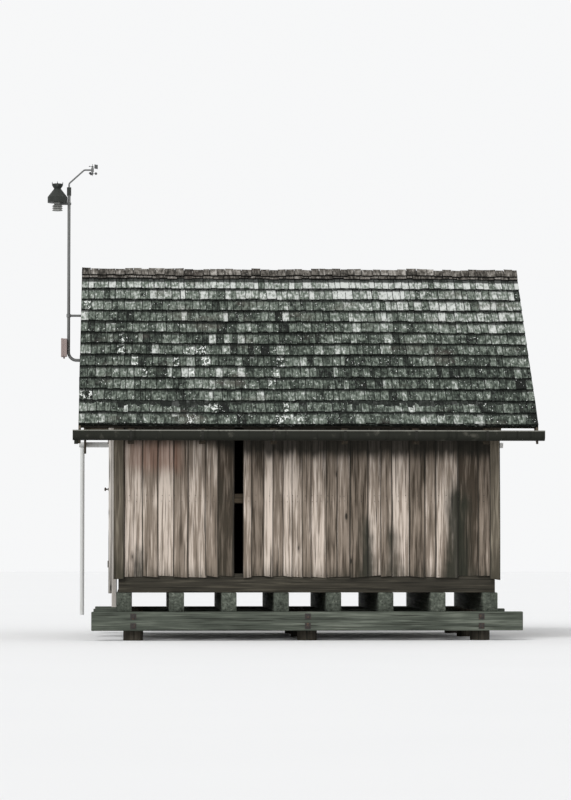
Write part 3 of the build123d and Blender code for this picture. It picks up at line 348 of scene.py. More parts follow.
@dataclass(frozen=True)
class Timber:
    """Bare or stained timber, with streaked grain, knots, damp, joints darkened by dirt and painted shade,
    painted shade under the eave and painted shadows of plants where the boards store them.

    Attributes:
        slot: Material slot of the record.
        dark: Colour of the dark streaks and of dark pieces.
        body: Usual colour.
        pale: Colour of the light streaks and of pale pieces.
        damp: Colour where it is wet or overgrown, and of the painted shadows of plants.
        warm: Colour where it is sheltered from the weather.
        soot_and_shade: Colour of cracks, knots and dirty joints, and of the painted shade under the eave and
            along the joints.
        streak: Contrast of the streaks.
        knots: Share of the places for knots that have one.
        relief: Depth of the raised grain.
        label: Name of the material, where it isn't the slot's.
    """

    slot: str
    dark: Colour
    body: Colour
    pale: Colour
    damp: Colour = shade(54, 52, 42)
    warm: Colour = shade(150, 110, 94)
    soot_and_shade: Colour = shade(30, 29, 24)
    streak: float = 1.0
    knots: float = 0.3
    relief: float = 0.0018
    label: str = ""

    def material(self, grain: Grain) -> bpy.types.Material:
        """Material of this timber.

        Args:
            grain: Way in which the grain runs.

        Returns:
            The material, made once for each way.
        """
        name = f"{self.label or self.slot}.{grain.name.lower()}"
        if name in bpy.data.materials:
            return bpy.data.materials[name]
        graph = Graph.of_material(name)
        place = graph.shifted(graph.coordinates(grain.value), graph.stored("seed") * 37.0)
        broad = graph.noise(graph.stretched(place, (1.0, 1.0, 0.05)), 34.0, 3.0)
        fine = graph.noise(graph.stretched(place, (1.0, 1.0, 0.03)), 125.0, 5.0)
        cloud = graph.noise(graph.stretched(place, (1.0, 1.0, 0.4)), 5.0, 4.0)
        streaks = (broad * 0.6 + fine * 0.4 - 0.5) * (4.6 * self.streak)
        level = streaks + (cloud - 0.5) * 1.2 + graph.stored("tone") * 0.8 + 0.5
        colour = graph.mix(level.between(-0.4, 0.5), self.dark, self.body)
        colour = graph.mix(level.between(0.5, 1.4), colour, self.pale)
        colour = self._knots(graph, place, colour)
        blotch = graph.noise(graph.stretched(place, (1.0, 1.0, 0.22)), 16.0, 4.0)
        # Damp, and on the front wall the painted shadows of plants
        wet = graph.stored("damp") * (blotch * 1.2 + 0.4)
        colour = graph.mix(wet.between(0.12, 0.85) * 0.94, colour, self.damp)
        sheltered = graph.stored("warm") * (fine * 0.8 + 0.5)
        colour = graph.mix(sheltered.between(0.1, 1.0) * 0.6, colour, self.warm)
        checks = graph.noise(graph.stretched(place, (1.0, 1.0, 0.016)), 80.0, 1.0)
        crack = checks.between(0.37, 0.29)
        colour = graph.mix(crack * 0.75, colour, self.soot_and_shade)
        # Painted shade under the eave, from the stored shade
        black = graph.stored("shade") * (blotch * 1.1 + 0.5)
        colour = graph.mix(black.between(0.1, 0.8) * 0.93, colour, self.soot_and_shade)
        # Joints darkened by dirt and by painted shade in the gaps between boards
        joint = graph.stored("edge") * (blotch * 0.9 + 0.6)
        colour = graph.mix(joint.between(0.2, 0.85) * 0.85, colour, self.soot_and_shade)
        height = fine * 0.6 + broad * 0.4 - crack * 0.8
        return graph.finish(colour, fine * 0.12 + 0.82, height, self.relief, specular=0.2)

    def _knots(
        self, graph: Graph, place: bpy.types.NodeSocket, colour: bpy.types.NodeSocket
    ) -> bpy.types.NodeSocket:
        """Colour with dark knots and the ring round each of them."""
        reach, chance = graph.cells(graph.stretched(place, (1.0, 1.0, 0.35)), 5.5)
        here = chance > 1.0 - self.knots
        colour = graph.mix(reach.between(0.17, 0.08) * here * 0.4, colour, self.dark)
        return graph.mix(reach.between(0.09, 0.05) * here * 0.9, colour, self.soot_and_shade)


@dataclass(frozen=True)
class SplitShingle:
    """Split wooden shingles with silver faces, crusts of lichen, and butt ends darkened as wet end grain and
    painted shade.

    Attributes:
        label: Name of the material.
        deep: Colour of the butt ends, of the painted shade on them and on what lies in the shade of the next
            course, and of the dark edges.
        dark: Colour of the dark streaks.
        body: Usual colour.
        pale: Colour of the driest faces.
        brown: Colour of the places where the green has gone.
        lichen: Colour of the crusts.
        slot: Material slot of the record.
    """

    label: str
    deep: Colour
    dark: Colour
    body: Colour
    pale: Colour
    brown: Colour = shade(92, 84, 78)
    lichen: Colour = shade(226, 229, 225)
    slot: str = "roof_shingles"

    def material(self, grain: Grain) -> bpy.types.Material:
        """Material of the shingles.

        Args:
            grain: Slope that they lie on.

        Returns:
            The material, made once for each slope.
        """
        name = f"{self.label}.{grain.name.lower()}"
        if name in bpy.data.materials:
            return bpy.data.materials[name]
        graph = Graph.of_material(name)
        along = graph.stored("along")
        whole = graph.coordinates(grain.value)
        place = graph.shifted(whole, graph.stored("seed") * 37.0)
        fibre = graph.noise(graph.stretched(place, (1.0, 1.0, 0.22)), 60.0, 5.0)
        broad = graph.noise(graph.stretched(place, (1.0, 1.0, 0.6)), 17.0, 3.0)
        cloud = graph.noise(whole, 2.6, 5.0)
        mottle = graph.noise(whole, 19.0, 4.0)
        level = (fibre - 0.5) * 3.0 + (broad - 0.5) * 1.5 + graph.stored("tone")
        level = level + (cloud - 0.5) * 1.5 + (mottle - 0.5) * 2.2 + 0.06
        colour = graph.mix(level.between(-1.15, -0.35), self.deep, self.dark)
        colour = graph.mix(level.between(-0.45, 0.3), colour, self.body)
        colour = graph.mix(level.between(0.2, 1.25), colour, self.pale)
        brown = graph.noise(graph.stretched(whole, (0.6, 1.0, 1.0)), 3.7, 3.0).between(0.56, 0.72)
        colour = graph.mix(brown * 0.3, colour, self.brown)
        flecks = graph.noise(graph.stretched(place, (1.0, 1.0, 0.5)), 60.0, 3.0)
        crusted = graph.stored("lichen") * mottle.between(0.38, 0.6)
        crust = (flecks + crusted * 0.24).between(0.655, 0.72)
        colour = graph.mix(crust * 0.8, colour, self.lichen)
        shaded = (along + (mottle - 0.5) * 0.3).between(0.74, 0.93)
        colour = graph.mix(shaded * 0.9, colour, self.deep)
        # Butt ends: wet end grain and painted shade
        colour = graph.mix(along.between(0.06, 0.0), colour, self.deep)
        joint = graph.stored("edge") * (mottle * 1.6)
        colour = graph.mix(joint.between(0.55, 1.0) * 0.75, colour, self.deep)
        height = fibre * 0.7 + broad * 0.3
        return graph.finish(colour, fibre * 0.15 + 0.8, height, 0.003, specular=0.2)


@dataclass(frozen=True)
class Coating:
    """Painted, galvanised or plastic surface with wear and dirt.

    Attributes:
        slot: Material slot of the record.
        colour: Main colour.
        worn: Colour of the worn and dusty places.
        dirt: Colour of what has run down or settled.
        wear: Share of the surface that is worn.
        roughness: Roughness of the clean surface.
        metallic: 1 for bare metal.
        grit: Depth of the surface's texture.
        size: How many patches of wear there are to a metre.
        specular: Specular level.
        label: Name of the material, where it isn't the slot's.
    """

    slot: str
    colour: Colour
    worn: Colour
    dirt: Colour
    wear: float = 0.3
    roughness: float = 0.5
    metallic: float = 0.0
    grit: float = 0.0004
    size: float = 9.0
    specular: float = 0.35
    label: str = ""

    def material(self) -> bpy.types.Material:
        """Material of this coating, made once."""
        name = f"{self.label or self.slot}.coating"
        if name in bpy.data.materials:
            return bpy.data.materials[name]
        graph = Graph.of_material(name)
        place = graph.coordinates()
        patches = graph.noise(place, self.size, 5.0)
        runs = graph.noise(graph.stretched(place, (1.0, 1.0, 0.12)), self.size * 2.4, 3.0)
        grain = graph.noise(place, 160.0, 3.0)
        threshold = 0.72 - 0.4 * self.wear
        worn = (patches + (grain - 0.5) * 0.25).between(threshold, threshold + 0.16)
        colour = graph.mix(worn * 0.8, self.colour, self.worn)
        soiled = (runs + (grain - 0.5) * 0.2).between(0.56, 0.78)
        colour = graph.mix(soiled * 0.65, colour, self.dirt)
        colour = graph.mix((grain - 0.5) * 0.3, colour, self.worn)
        roughness = worn * 0.15 + soiled * 0.12 + grain * 0.08 + (self.roughness - 0.04)
        height = grain * 0.6 + worn * 0.4
        return graph.finish(colour, roughness, height, self.grit, self.metallic, self.specular)


class Finishes:
    """The finishes of the hut, by what they are on."""

    boards = Timber(
        "weathered_boards",
        shade(62, 54, 45),
        shade(127, 115, 103),
        shade(200, 187, 175),
        damp=shade(36, 38, 30),
        knots=0.45,
    )
    corner = Timber("dark_boards", shade(48, 44, 36), shade(88, 81, 70), shade(130, 122, 108), knots=0.15)
    casing = Timber("pale_boards", shade(142, 137, 130), shade(190, 185, 178), shade(218, 214, 208), streak=0.6)
    frame = Timber("frame_timber", shade(32, 28, 21), shade(52, 45, 35), shade(76, 66, 53))
    # Sills and wet timber: wet colour darkened further as painted shade under the floor
    sills = Timber("frame_timber", shade(30, 28, 23), shade(52, 49, 42), shade(78, 74, 64), label="wet_and_shaded_sills")
    wet = Timber(
        "wet_timber", shade(38, 41, 36), shade(72, 77, 69), shade(108, 113, 103), damp=shade(34, 37, 30)
    )
    piles = Timber("pile_timber", shade(30, 28, 24), shade(54, 50, 43), shade(80, 75, 66), damp=shade(22, 25, 19))
    # Darker than the timber's own colour, as painted shade under the eaves and the roof
    roof = Timber("roof_timber", shade(30, 27, 22), shade(52, 46, 38), shade(80, 72, 60))
    floor = Timber("floor_timber", shade(92, 80, 66), shade(134, 120, 101), shade(164, 150, 130))
    shingles = SplitShingle(
        "roof_shingles", shade(15, 18, 15), shade(55, 62, 55), shade(102, 110, 101), shade(188, 191, 187)
    )
    cap = SplitShingle(
        "ridge_cap",
        shade(19, 18, 16),
        shade(54, 51, 46),
        shade(100, 96, 90),
        shade(158, 154, 148),
        lichen=shade(168, 166, 160),
    )
    # Dark grey paint, darkened further as painted shade on the front gutter's face
    gutter_dark = Coating(
        "gutter_dark",
        shade(34, 35, 30),
        shade(74, 73, 66),
        shade(17, 17, 14),
        wear=0.35,
        roughness=0.7,
        specular=0.1,
    )
    # Paler copy of the front gutter's dark paint for its rolled rim: a painted highlight along the top
    rim_highlight = Coating(
        "gutter_dark",
        shade(112, 112, 104),
        shade(140, 140, 132),
        shade(60, 58, 51),
        wear=0.4,
        roughness=0.6,
        label="gutter_rim_highlight",
    )
    gutter_pale = Coating(
        "gutter_pale", shade(202, 203, 201), shade(214, 214, 211), shade(166, 165, 158), wear=0.2, roughness=0.5
    )
    strap = Coating("strap_metal", shade(34, 34, 30), shade(62, 60, 54), shade(26, 22, 18), specular=0.15)
    iron = Coating(
        "hinge_iron", shade(46, 42, 40), shade(92, 70, 54), shade(74, 50, 36), wear=0.4, roughness=0.6, size=30.0
    )
    mast = Coating(
        "mast_steel", shade(98, 99, 98), shade(124, 125, 123), shade(78, 77, 72), wear=0.4, size=24.0
    )
    box = Coating(
        "box_plastic", shade(150, 135, 131), shade(166, 153, 149), shade(116, 104, 99), size=14.0
    )
    black = Coating(
        "instrument_black", shade(38, 41, 38), shade(72, 75, 72), shade(52, 52, 46), size=26.0, specular=0.25
    )
    shield = Coating("instrument_white", shade(138, 139, 136), shade(166, 166, 162), shade(98, 97, 92), size=26.0)
    grey = Coating("instrument_grey", shade(84, 85, 85), shade(112, 113, 112), shade(66, 64, 58), size=26.0)


@contextmanager
def editing(piece: bpy.types.Object) -> Iterator[bmesh.types.BMesh]:
    """Edit mode on one piece, with nothing else selected.

    Args:
        piece: The mesh object to edit.

    Yields:
        The mesh being edited.
    """
    only(piece)
    bpy.ops.object.mode_set(mode="EDIT")
    bpy.ops.mesh.select_mode(type="VERT")
    yield bmesh.from_edit_mesh(piece.data)
    bpy.ops.object.mode_set(mode="OBJECT")


def only(*pieces: bpy.types.Object) -> None:
    """Select these objects and nothing else; the first is active."""
    bpy.ops.object.select_all(action="DESELECT")
    for piece in pieces:
        piece.select_set(True)
    bpy.context.view_layer.objects.active = pieces[0]


def select_where(mesh: bmesh.types.BMesh, chosen: Callable[[Vector], bool]) -> None:
    """Select the vertices whose place is chosen, and deselect the rest."""
    bpy.ops.mesh.select_all(action="DESELECT")
    for vertex in mesh.verts:
        vertex.select = chosen(vertex.co)
    mesh.select_flush(True)


def block(name: str, low: Point, high: Point, edge: float = 0.0) -> bpy.types.Object:
    """Rectangular piece with eased edges.

    Args:
        name: Name of the piece.
        low: Lowest corner.
        high: Highest corner.
        edge: Width of the eased edges.

    Returns:
        The piece, with its place in its mesh.
    """
    middle = [(a + b) / 2 for a, b in zip(low, high)]
    size = [b - a for a, b in zip(low, high)]
    bpy.ops.mesh.primitive_cube_add(size=1.0, location=middle, scale=size)
    piece = bpy.context.active_object
    piece.name = piece.data.name = name
    only(piece)
    bpy.ops.object.transform_apply(location=True, rotation=True, scale=True)
    if edge:
        with editing(piece):
            bpy.ops.mesh.select_all(action="SELECT")
            bpy.ops.mesh.bevel(offset=edge, segments=1, affect="EDGES")
    return piece


def cut_across(piece: bpy.types.Object, axis: int, places: Sequence[float]) -> None:
    """Cut a piece into lengths that stay joined.

    Args:
        piece: The piece to cut.
        axis: 0, 1 or 2 for X, Y or Z.
        places: Where to cut, along that axis.
    """
    normal = [0.0, 0.0, 0.0]
    normal[axis] = 1.0
    with editing(piece):
        for place in places:
            bpy.ops.mesh.select_all(action="SELECT")
            bpy.ops.mesh.bisect(plane_co=[place * n for n in normal], plane_no=normal)


def turned(name: str, outline: Outline, sides: int = 24) -> bpy.types.Object:
    """Round piece about the Z axis.

    Args:
        name: Name of the piece.
        outline: Radius and height of each ring from one end to the other; a radius of 0 closes an end.
        sides: Sides of the rings.

    Returns:
        The piece, with its place in its mesh.
    """
    rings = [(max(radius, POINT_RADIUS), height) for radius, height in outline]
    bpy.ops.mesh.primitive_circle_add(vertices=sides, radius=rings[0][0], location=(0.0, 0.0, rings[0][1]))
    piece = bpy.context.active_object
    piece.name = piece.data.name = name
    only(piece)
    bpy.ops.object.transform_apply(location=True, rotation=True, scale=True)
    with editing(piece):
        bpy.ops.mesh.select_all(action="SELECT")
        for (before, below), (radius, height) in zip(rings, rings[1:]):
            bpy.ops.mesh.extrude_region_move(TRANSFORM_OT_translate={"value": (0.0, 0.0, height - below)})
            grown = radius / before
            bpy.ops.transform.resize(value=(grown, grown, 1.0), center_override=(0.0, 0.0, height))
        bpy.ops.mesh.select_all(action="SELECT")
        bpy.ops.mesh.remove_doubles(threshold=3 * POINT_RADIUS)
        bpy.ops.mesh.normals_make_consistent(inside=False)
    return piece


def points_of(mesh: bpy.types.Mesh) -> np.ndarray:
    """Places of a mesh's vertices, one row each."""
    flat = np.empty(len(mesh.vertices) * 3)
    mesh.vertices.foreach_get("co", flat)
    return flat.reshape(-1, 3)


def store(mesh: bpy.types.Mesh, **numbers: Union[float, np.ndarray]) -> None:
    """Store numbers on the vertices of a mesh, each under its name, for the materials to read."""
    for name, value in numbers.items():
        layer = mesh.attributes.get(name) or mesh.attributes.new(name, "FLOAT", "POINT")
        spread = np.broadcast_to(np.asarray(value, dtype=np.float32), (len(mesh.vertices),))
        layer.data.foreach_set("value", np.ascontiguousarray(spread))


def hand_over(
    piece: bpy.types.Object,
    material: bpy.types.Material,
    body: str = HUT,
    nodes: Sequence[str] = (),
) -> None:
    """Dress a finished piece, let it ride on its body and report it.

    Args:
        piece: The piece.
        material: Its material.
        body: Body that carries it.
        nodes: Frame nodes that it stands for.
    """
    piece.data.materials.clear()
    piece.data.materials.append(material)
    only(piece)
    bpy.ops.object.shade_smooth_by_angle(angle=math.radians(32))
    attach(piece, body)
    if nodes:
        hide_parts(*nodes)
    LOG.info("%s: %d faces on %s", piece.name, len(piece.data.polygons), body)


class Stack:
    """Copies of modelled pieces, each with its own mesh, that are joined into one piece."""

    def __init__(self, name: str) -> None:
        """Start an empty stack that will become the named piece."""
        self.name = name
        self.parts: list[bpy.types.Object] = []

    def place(
        self,
        template: bpy.types.Object,
        matrix: Matrix,
        shape: Callable[[np.ndarray], np.ndarray] | None = None,
        marks: Callable[[np.ndarray], dict] | None = None,
        **numbers: Union[float, np.ndarray],
    ) -> bpy.types.Mesh:
        """Add a copy.

        Args:
            template: The piece to copy.
            matrix: Where the copy goes.
            shape: Changes the places of its vertices before it goes there.
            marks: Gives stored numbers for the places of its vertices once it is there.
            **numbers: Stored numbers for the whole copy.

        Returns:
            The copy's mesh.
        """
        mesh = template.data.copy()
        if shape:
            mesh.vertices.foreach_set("co", shape(points_of(mesh)).ravel())
        mesh.transform(matrix)
        store(mesh, **numbers)
        if marks:
            store(mesh, **marks(points_of(mesh)))
        part = bpy.data.objects.new(self.name, mesh)
        bpy.context.scene.collection.objects.link(part)
        self.parts.append(part)
        return mesh

    def joined(self) -> bpy.types.Object:
        """Join the copies into one piece, with its object at the origin."""
        only(*self.parts)
        if len(self.parts) > 1:
            bpy.ops.object.join()
        piece = self.parts[0]
        piece.name = piece.data.name = self.name
        return piece


def discard(*pieces: bpy.types.Object) -> None:
    """Delete templates that have been copied."""
    for piece in pieces:
        bpy.data.objects.remove(piece)


@dataclass(frozen=True)
class RoofShape:
    """The roof's slopes, measured on the frame.

    Attributes:
        pitch: Slope in radians.
        eave_y: Distance of the eave edge from the ridge line, across the hut.
        eave_z: Height of the eave edge at the shingle tops.
        verge_x: Distance of the verges from the middle.
        courses: Courses of shingles on a slope.
        cap_width: Width of the ridge cap on a slope.
        shingle_depth: From the shingle tops down to the roof boards, square to the slope.
        taper_depth: How far a course thins before the next one steps over it.
    """

    pitch: float
    eave_y: float
    eave_z: float
    verge_x: float
    courses: int = 13
    cap_width: float = 0.115
    shingle_depth: float = 0.040
    taper_depth: float = 0.016

    @classmethod
    def measured(cls) -> "RoofShape":
        """The roof as the frame has it."""
        low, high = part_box("front_shingles")
        pitch = math.radians(ROOF_PITCH)
        return cls(pitch, -low.y, low.z + cls.shingle_depth * math.cos(pitch), high.x)

    @property
    def length(self) -> float:
        """From the eave edge to the ridge, along the slope."""
        return self.eave_y / math.cos(self.pitch)

    @property
    def cap_start(self) -> float:
        """Where the ridge cap begins, along the slope."""
        return self.length - self.cap_width

    @property
    def exposed(self) -> float:
        """Visible length of one course."""
        return self.cap_start / self.courses

    def slope(self, back: bool) -> Matrix:
        """Frame of a slope: X along the eave, Y up the slope, Z out of it, from the middle of the eave edge."""
        tilt = Matrix.Rotation(self.pitch, 4, "X")
        front = Matrix.Translation((0.0, -self.eave_y, self.eave_z)) @ tilt
        return Matrix.Rotation(math.pi, 4, "Z") @ front if back else front

    def height(self, y: float, depth: float) -> float:
        """Height of the slope at y, at a depth square to it below the shingle tops."""
        rise = (self.eave_y - abs(y)) * math.tan(self.pitch)
        return self.eave_z + rise - depth / math.cos(self.pitch)


@dataclass(frozen=True)
class Patch:
    """Soft-edged patch on a face of the hut, by its middle and its reach.

    Attributes:
        middle: Middle of the patch, in two coordinates of the face.
        reach: Half its size each way.
        strength: Strength at the middle.
    """

    middle: tuple[float, float]
    reach: tuple[float, float]
    strength: float = 1.0

    def at(self, first: np.ndarray, second: np.ndarray) -> np.ndarray:
        """Strength at places given by their two coordinates on the face."""
        away = np.maximum(
            np.abs(first - self.middle[0]) / self.reach[0], np.abs(second - self.middle[1]) / self.reach[1]
        )
        return self.strength * np.clip((1.3 - away) / 0.5, 0.0, 1.0)


# Crusts of lichen on both slopes: place along the hut and number of the course from the eave
FRONT_LICHEN = (
    (-0.28, 0),
    (-0.22, 0),
    (-0.25, 1),
    (-0.09, 0),
    (-0.955, 1),
    (-1.25, 0),
    (-1.22, 4),
    (-1.11, 6),
    (-1.23, 6),
    (-1.39, 5),
    (-1.11, 5),
    (-1.86, 5),
    (-1.97, 6),
    (-1.98, 7),
    (-1.73, 4),
    (-0.25, 6),
    (-0.29, 5),
    (-0.30, 4),
    (-0.35, 3),
    (-2.35, 10),
    (-2.35, 2),
)
BACK_LICHEN = ((1.2, 3), (1.26, 4), (0.4, 6), (-0.7, 1), (-1.5, 5), (-1.44, 6), (-1.9, 2), (2.1, 8), (0.1, 0))


@dataclass
class ShingleTemplates:
    """A few split shingles, each with its own ragged butt end.

    Attributes:
        width: Width of a shingle.
        length: Length of a shingle.
        butt: Thickness at the butt end.
        tip: Thickness at the thin end.
        ends: For each shingle, how far its butt is worn back at four places across it.
    """

    width: float = 0.080
    length: float = 0.400
    butt: float = 0.015
    tip: float = 0.005
    ends: tuple[tuple[float, float, float, float], ...] = (
        (0.000, 0.002, 0.001, 0.004),
        (0.006, 0.001, 0.000, 0.000),
        (0.001, 0.000, 0.007, 0.002),
        (0.003, 0.003, 0.000, 0.006),
        (0.000, 0.005, 0.002, 0.000),
    )

    def build(self) -> list[bpy.types.Object]:
        """Model the shingles, lying with the butt at Y = 0, the thin end up Y and the top face at Z = 0."""
        return [self._shingle(number, worn) for number, worn in enumerate(self.ends)]

    def _shingle(self, number: int, worn: Sequence[float]) -> bpy.types.Object:
        """Model one shingle."""
        half = self.width / 2
        piece = block(f"shingle_{number}", (-half, 0.0, -self.butt), (half, self.length, 0.0))
        columns = [-half / 3, half / 3]
        cut_across(piece, 0, columns)
        with editing(piece) as mesh:
            select_where(mesh, lambda co: co.y > self.length / 2 and co.z < -self.butt / 2)
            bpy.ops.transform.translate(value=(0.0, 0.0, self.butt - self.tip))
            for column, back in zip((-half, *columns, half), worn):
                select_where(mesh, lambda co: co.y < self.length / 2 and abs(co.x - column) < half / 6)
                bpy.ops.transform.translate(value=(0.0, back, 0.0))
            select_where(mesh, lambda co: abs(co.x) < half / 2)
            bpy.ops.transform.translate(value=(0.0, 0.0, -0.0012))
        store(piece.data, edge=(np.abs(points_of(piece.data)[:, 0]) > 0.9 * half).astype(float))
        return piece


@dataclass
class ShingleSlope:
    """One slope of shingles, in courses of random widths over two starter courses at the eave.

    Attributes:
        roof: The roof's shape.
        templates: The modelled shingles.
        back: True for the back slope.
        seed: Start of the random draws.
        gap: Least and greatest gap between two shingles.
        light_top: How much paler the top courses are.
        spots: Places of single crusts of lichen, along the hut and by the number of the course.
        silver: Places with paler shingles, or duller ones below a strength of 0, along the hut and up it.
    """

    roof: RoofShape
    templates: list[bpy.types.Object]
    back: bool
    seed: int
    gap: tuple[float, float] = (0.0015, 0.0055)
    light_top: float = 0.75
    spots: Sequence[tuple[float, int]] = ()
    silver: Sequence[Patch] = ()

    def build(self) -> bpy.types.Object:
        """Lay the slope's courses and join them."""
        name = "back_shingle_courses" if self.back else "front_shingle_courses"
        draw = random.Random(self.seed)
        stack = Stack(name)
        roof = self.roof
        drop = roof.taper_depth / roof.exposed
        thickness = ShingleTemplates.butt
        self._course(stack, draw, 0.004, -roof.shingle_depth + thickness, 0.0, 0)
        self._course(stack, draw, 0.002, -roof.shingle_depth + 1.85 * thickness, 0.0, 0)
        for course in range(roof.courses):
            self._course(stack, draw, course * roof.exposed, 0.0, drop, course)
        return stack.joined()

    def _course(
        self, stack: Stack, draw: random.Random, start: float, top: float, drop: float, course: int
    ) -> None:
        """Lay one course.

        Args:
            stack: Where the shingles go.
            draw: Random draws.
            start: Butt line, up from the eave edge.
            top: Height of the butts' top edge over the slope's plane.
            drop: How much the top face falls for each metre up the slope.
            course: Number of the course, from the eave.
        """
        slope = self.roof.slope(self.back)
        verge = self.roof.verge_x - 0.002
        bow = draw.uniform(-1, 1)
        left = -verge
        while left < verge - 0.02:
            width = min(draw.triangular(0.040, 0.125, 0.058), verge - left)
            if verge - left - width < 0.030:
                width = verge - left
            middle = left + width / 2
            self._shingle(stack, draw, slope, (middle, width), start, top, drop, course, bow)
            left += width + draw.uniform(*self.gap)

    def _shingle(
        self,
        stack: Stack,
        draw: random.Random,
        slope: Matrix,
        place: tuple[float, float],
        start: float,
        top: float,
        drop: float,
        course: int,
        bow: float,
    ) -> None:
        """Lay one shingle; see _course for the arguments that they share."""
        roof = self.roof
        middle, width = place
        wave = 0.005 * math.sin(1.7 * middle + bow) + 0.003 * math.sin(5.1 * middle + 2.0 * bow + course)
        butt = start + wave + draw.uniform(-0.006, 0.008)
        longest = (roof.length - butt) / ShingleTemplates.length
        scale = Matrix.Diagonal((width / ShingleTemplates.width, min(1.0, longest), 1.0, 1.0))
        lift = top + draw.uniform(0.0, 0.003) + 0.003 * math.sin(2.3 * middle + 0.9 * course)
        tilt = math.atan(drop) + draw.gauss(0.0, 0.004)
        turn = Euler((-tilt, draw.gauss(0.0, 0.012), draw.gauss(0.0, 0.009)))
        local = Matrix.Translation((middle, max(butt, 0.0), lift)) @ turn.to_matrix().to_4x4() @ scale
        template = self.templates[draw.randrange(len(self.templates))]
        mesh = stack.place(
            template,
            slope @ local,
            tone=self._tone(draw, middle, start, course),
            seed=draw.random(),
            lichen=self._crust(middle, width, course) + 0.15 * draw.random(),
        )
        store(mesh, along=points_of(template.data)[:, 1] / roof.exposed)

    def _crust(self, middle: float, width: float, course: int) -> float:
        """How much lichen a shingle has, from the spots that lie on it."""
        near = width / 2 + 0.008
        return 0.75 if any(row == course and abs(middle - x) < near for x, row in self.spots) else 0.0

    def _tone(self, draw: random.Random, middle: float, start: float, course: int) -> float:
        """How pale a shingle is: most are dull, some are silver and a few are nearly black."""
        up = start / self.roof.length
        tone = draw.gauss(-0.16, 0.27) + self.light_top * max(0.0, up - 0.66) / 0.34
        tone += self._strength(self.silver, middle, start) * draw.uniform(0.1, 0.8)
        odd = draw.random()
        if odd < 0.09:
            tone += draw.uniform(0.25, 0.7)
        elif odd > 0.93:
            tone -= 0.5
        return tone

    @staticmethod
    def _strength(patches: Sequence[Patch], middle: float, start: float) -> float:
        """Strength of some patches together at a place on the slope."""
        place = (np.array([middle]), np.array([start]))
        return sum(float(patch.at(*place)[0]) for patch in patches)


@dataclass
class RidgeCap:
    """Two layers of short shingles along the ridge on each slope, ragged below and at the top.

    Attributes:
        roof: The roof's shape.
        templates: The modelled shingles.
        seed: Start of the random draws.
    """

    roof: RoofShape
    templates: list[bpy.types.Object]
    seed: int = 71

    def build(self) -> bpy.types.Object:
        """Lay the cap."""
        draw = random.Random(self.seed)
        stack = Stack("ridge_cap_shingles")
        seat = -self.roof.taper_depth
        for back in (False, True):
            self._layer(stack, draw, back, self.roof.cap_start - 0.012, seat + 0.018, 0.0)
            self._layer(stack, draw, back, self.roof.cap_start + 0.022, seat + 0.036, 0.010)
        return stack.joined()

    def _layer(
        self, stack: Stack, draw: random.Random, back: bool, start: float, top: float, overshoot: float
    ) -> None:
        """Lay one layer; overshoot is how far its front side stands past the ridge line."""
        slope = self.roof.slope(back)
        verge = self.roof.verge_x - 0.002
        left = -verge
        while left < verge - 0.02:
            width = min(draw.triangular(0.055, 0.125, 0.085), verge - left)
            if verge - left - width < 0.035:
                width = verge - left
            butt = start + draw.uniform(-0.012, 0.012)
            reach = self.roof.length - butt + (draw.uniform(-0.006, 0.02) + overshoot if not back else -0.004)
            scale = Matrix.Diagonal((width / ShingleTemplates.width, reach / ShingleTemplates.length, 1.0, 1.0))
            turn = Euler((draw.gauss(-0.01, 0.03), draw.gauss(0.0, 0.02), draw.gauss(0.0, 0.02)))
            sag = 0.004 * math.sin(1.9 * left) + 0.003 * math.sin(6.3 * left)
            local = Matrix.Translation((left + width / 2, butt, top + sag)) @ turn.to_matrix().to_4x4() @ scale
            template = self.templates[draw.randrange(len(self.templates))]
            mesh = stack.place(
                template,
                slope @ local,
                tone=draw.gauss(-0.05, 0.25),
                seed=draw.random(),
                lichen=0.0,
            )
            store(mesh, along=np.clip(points_of(template.data)[:, 1] / ShingleTemplates.length * 0.7, 0.0, 1.0))
            left += width + draw.uniform(0.001, 0.006)


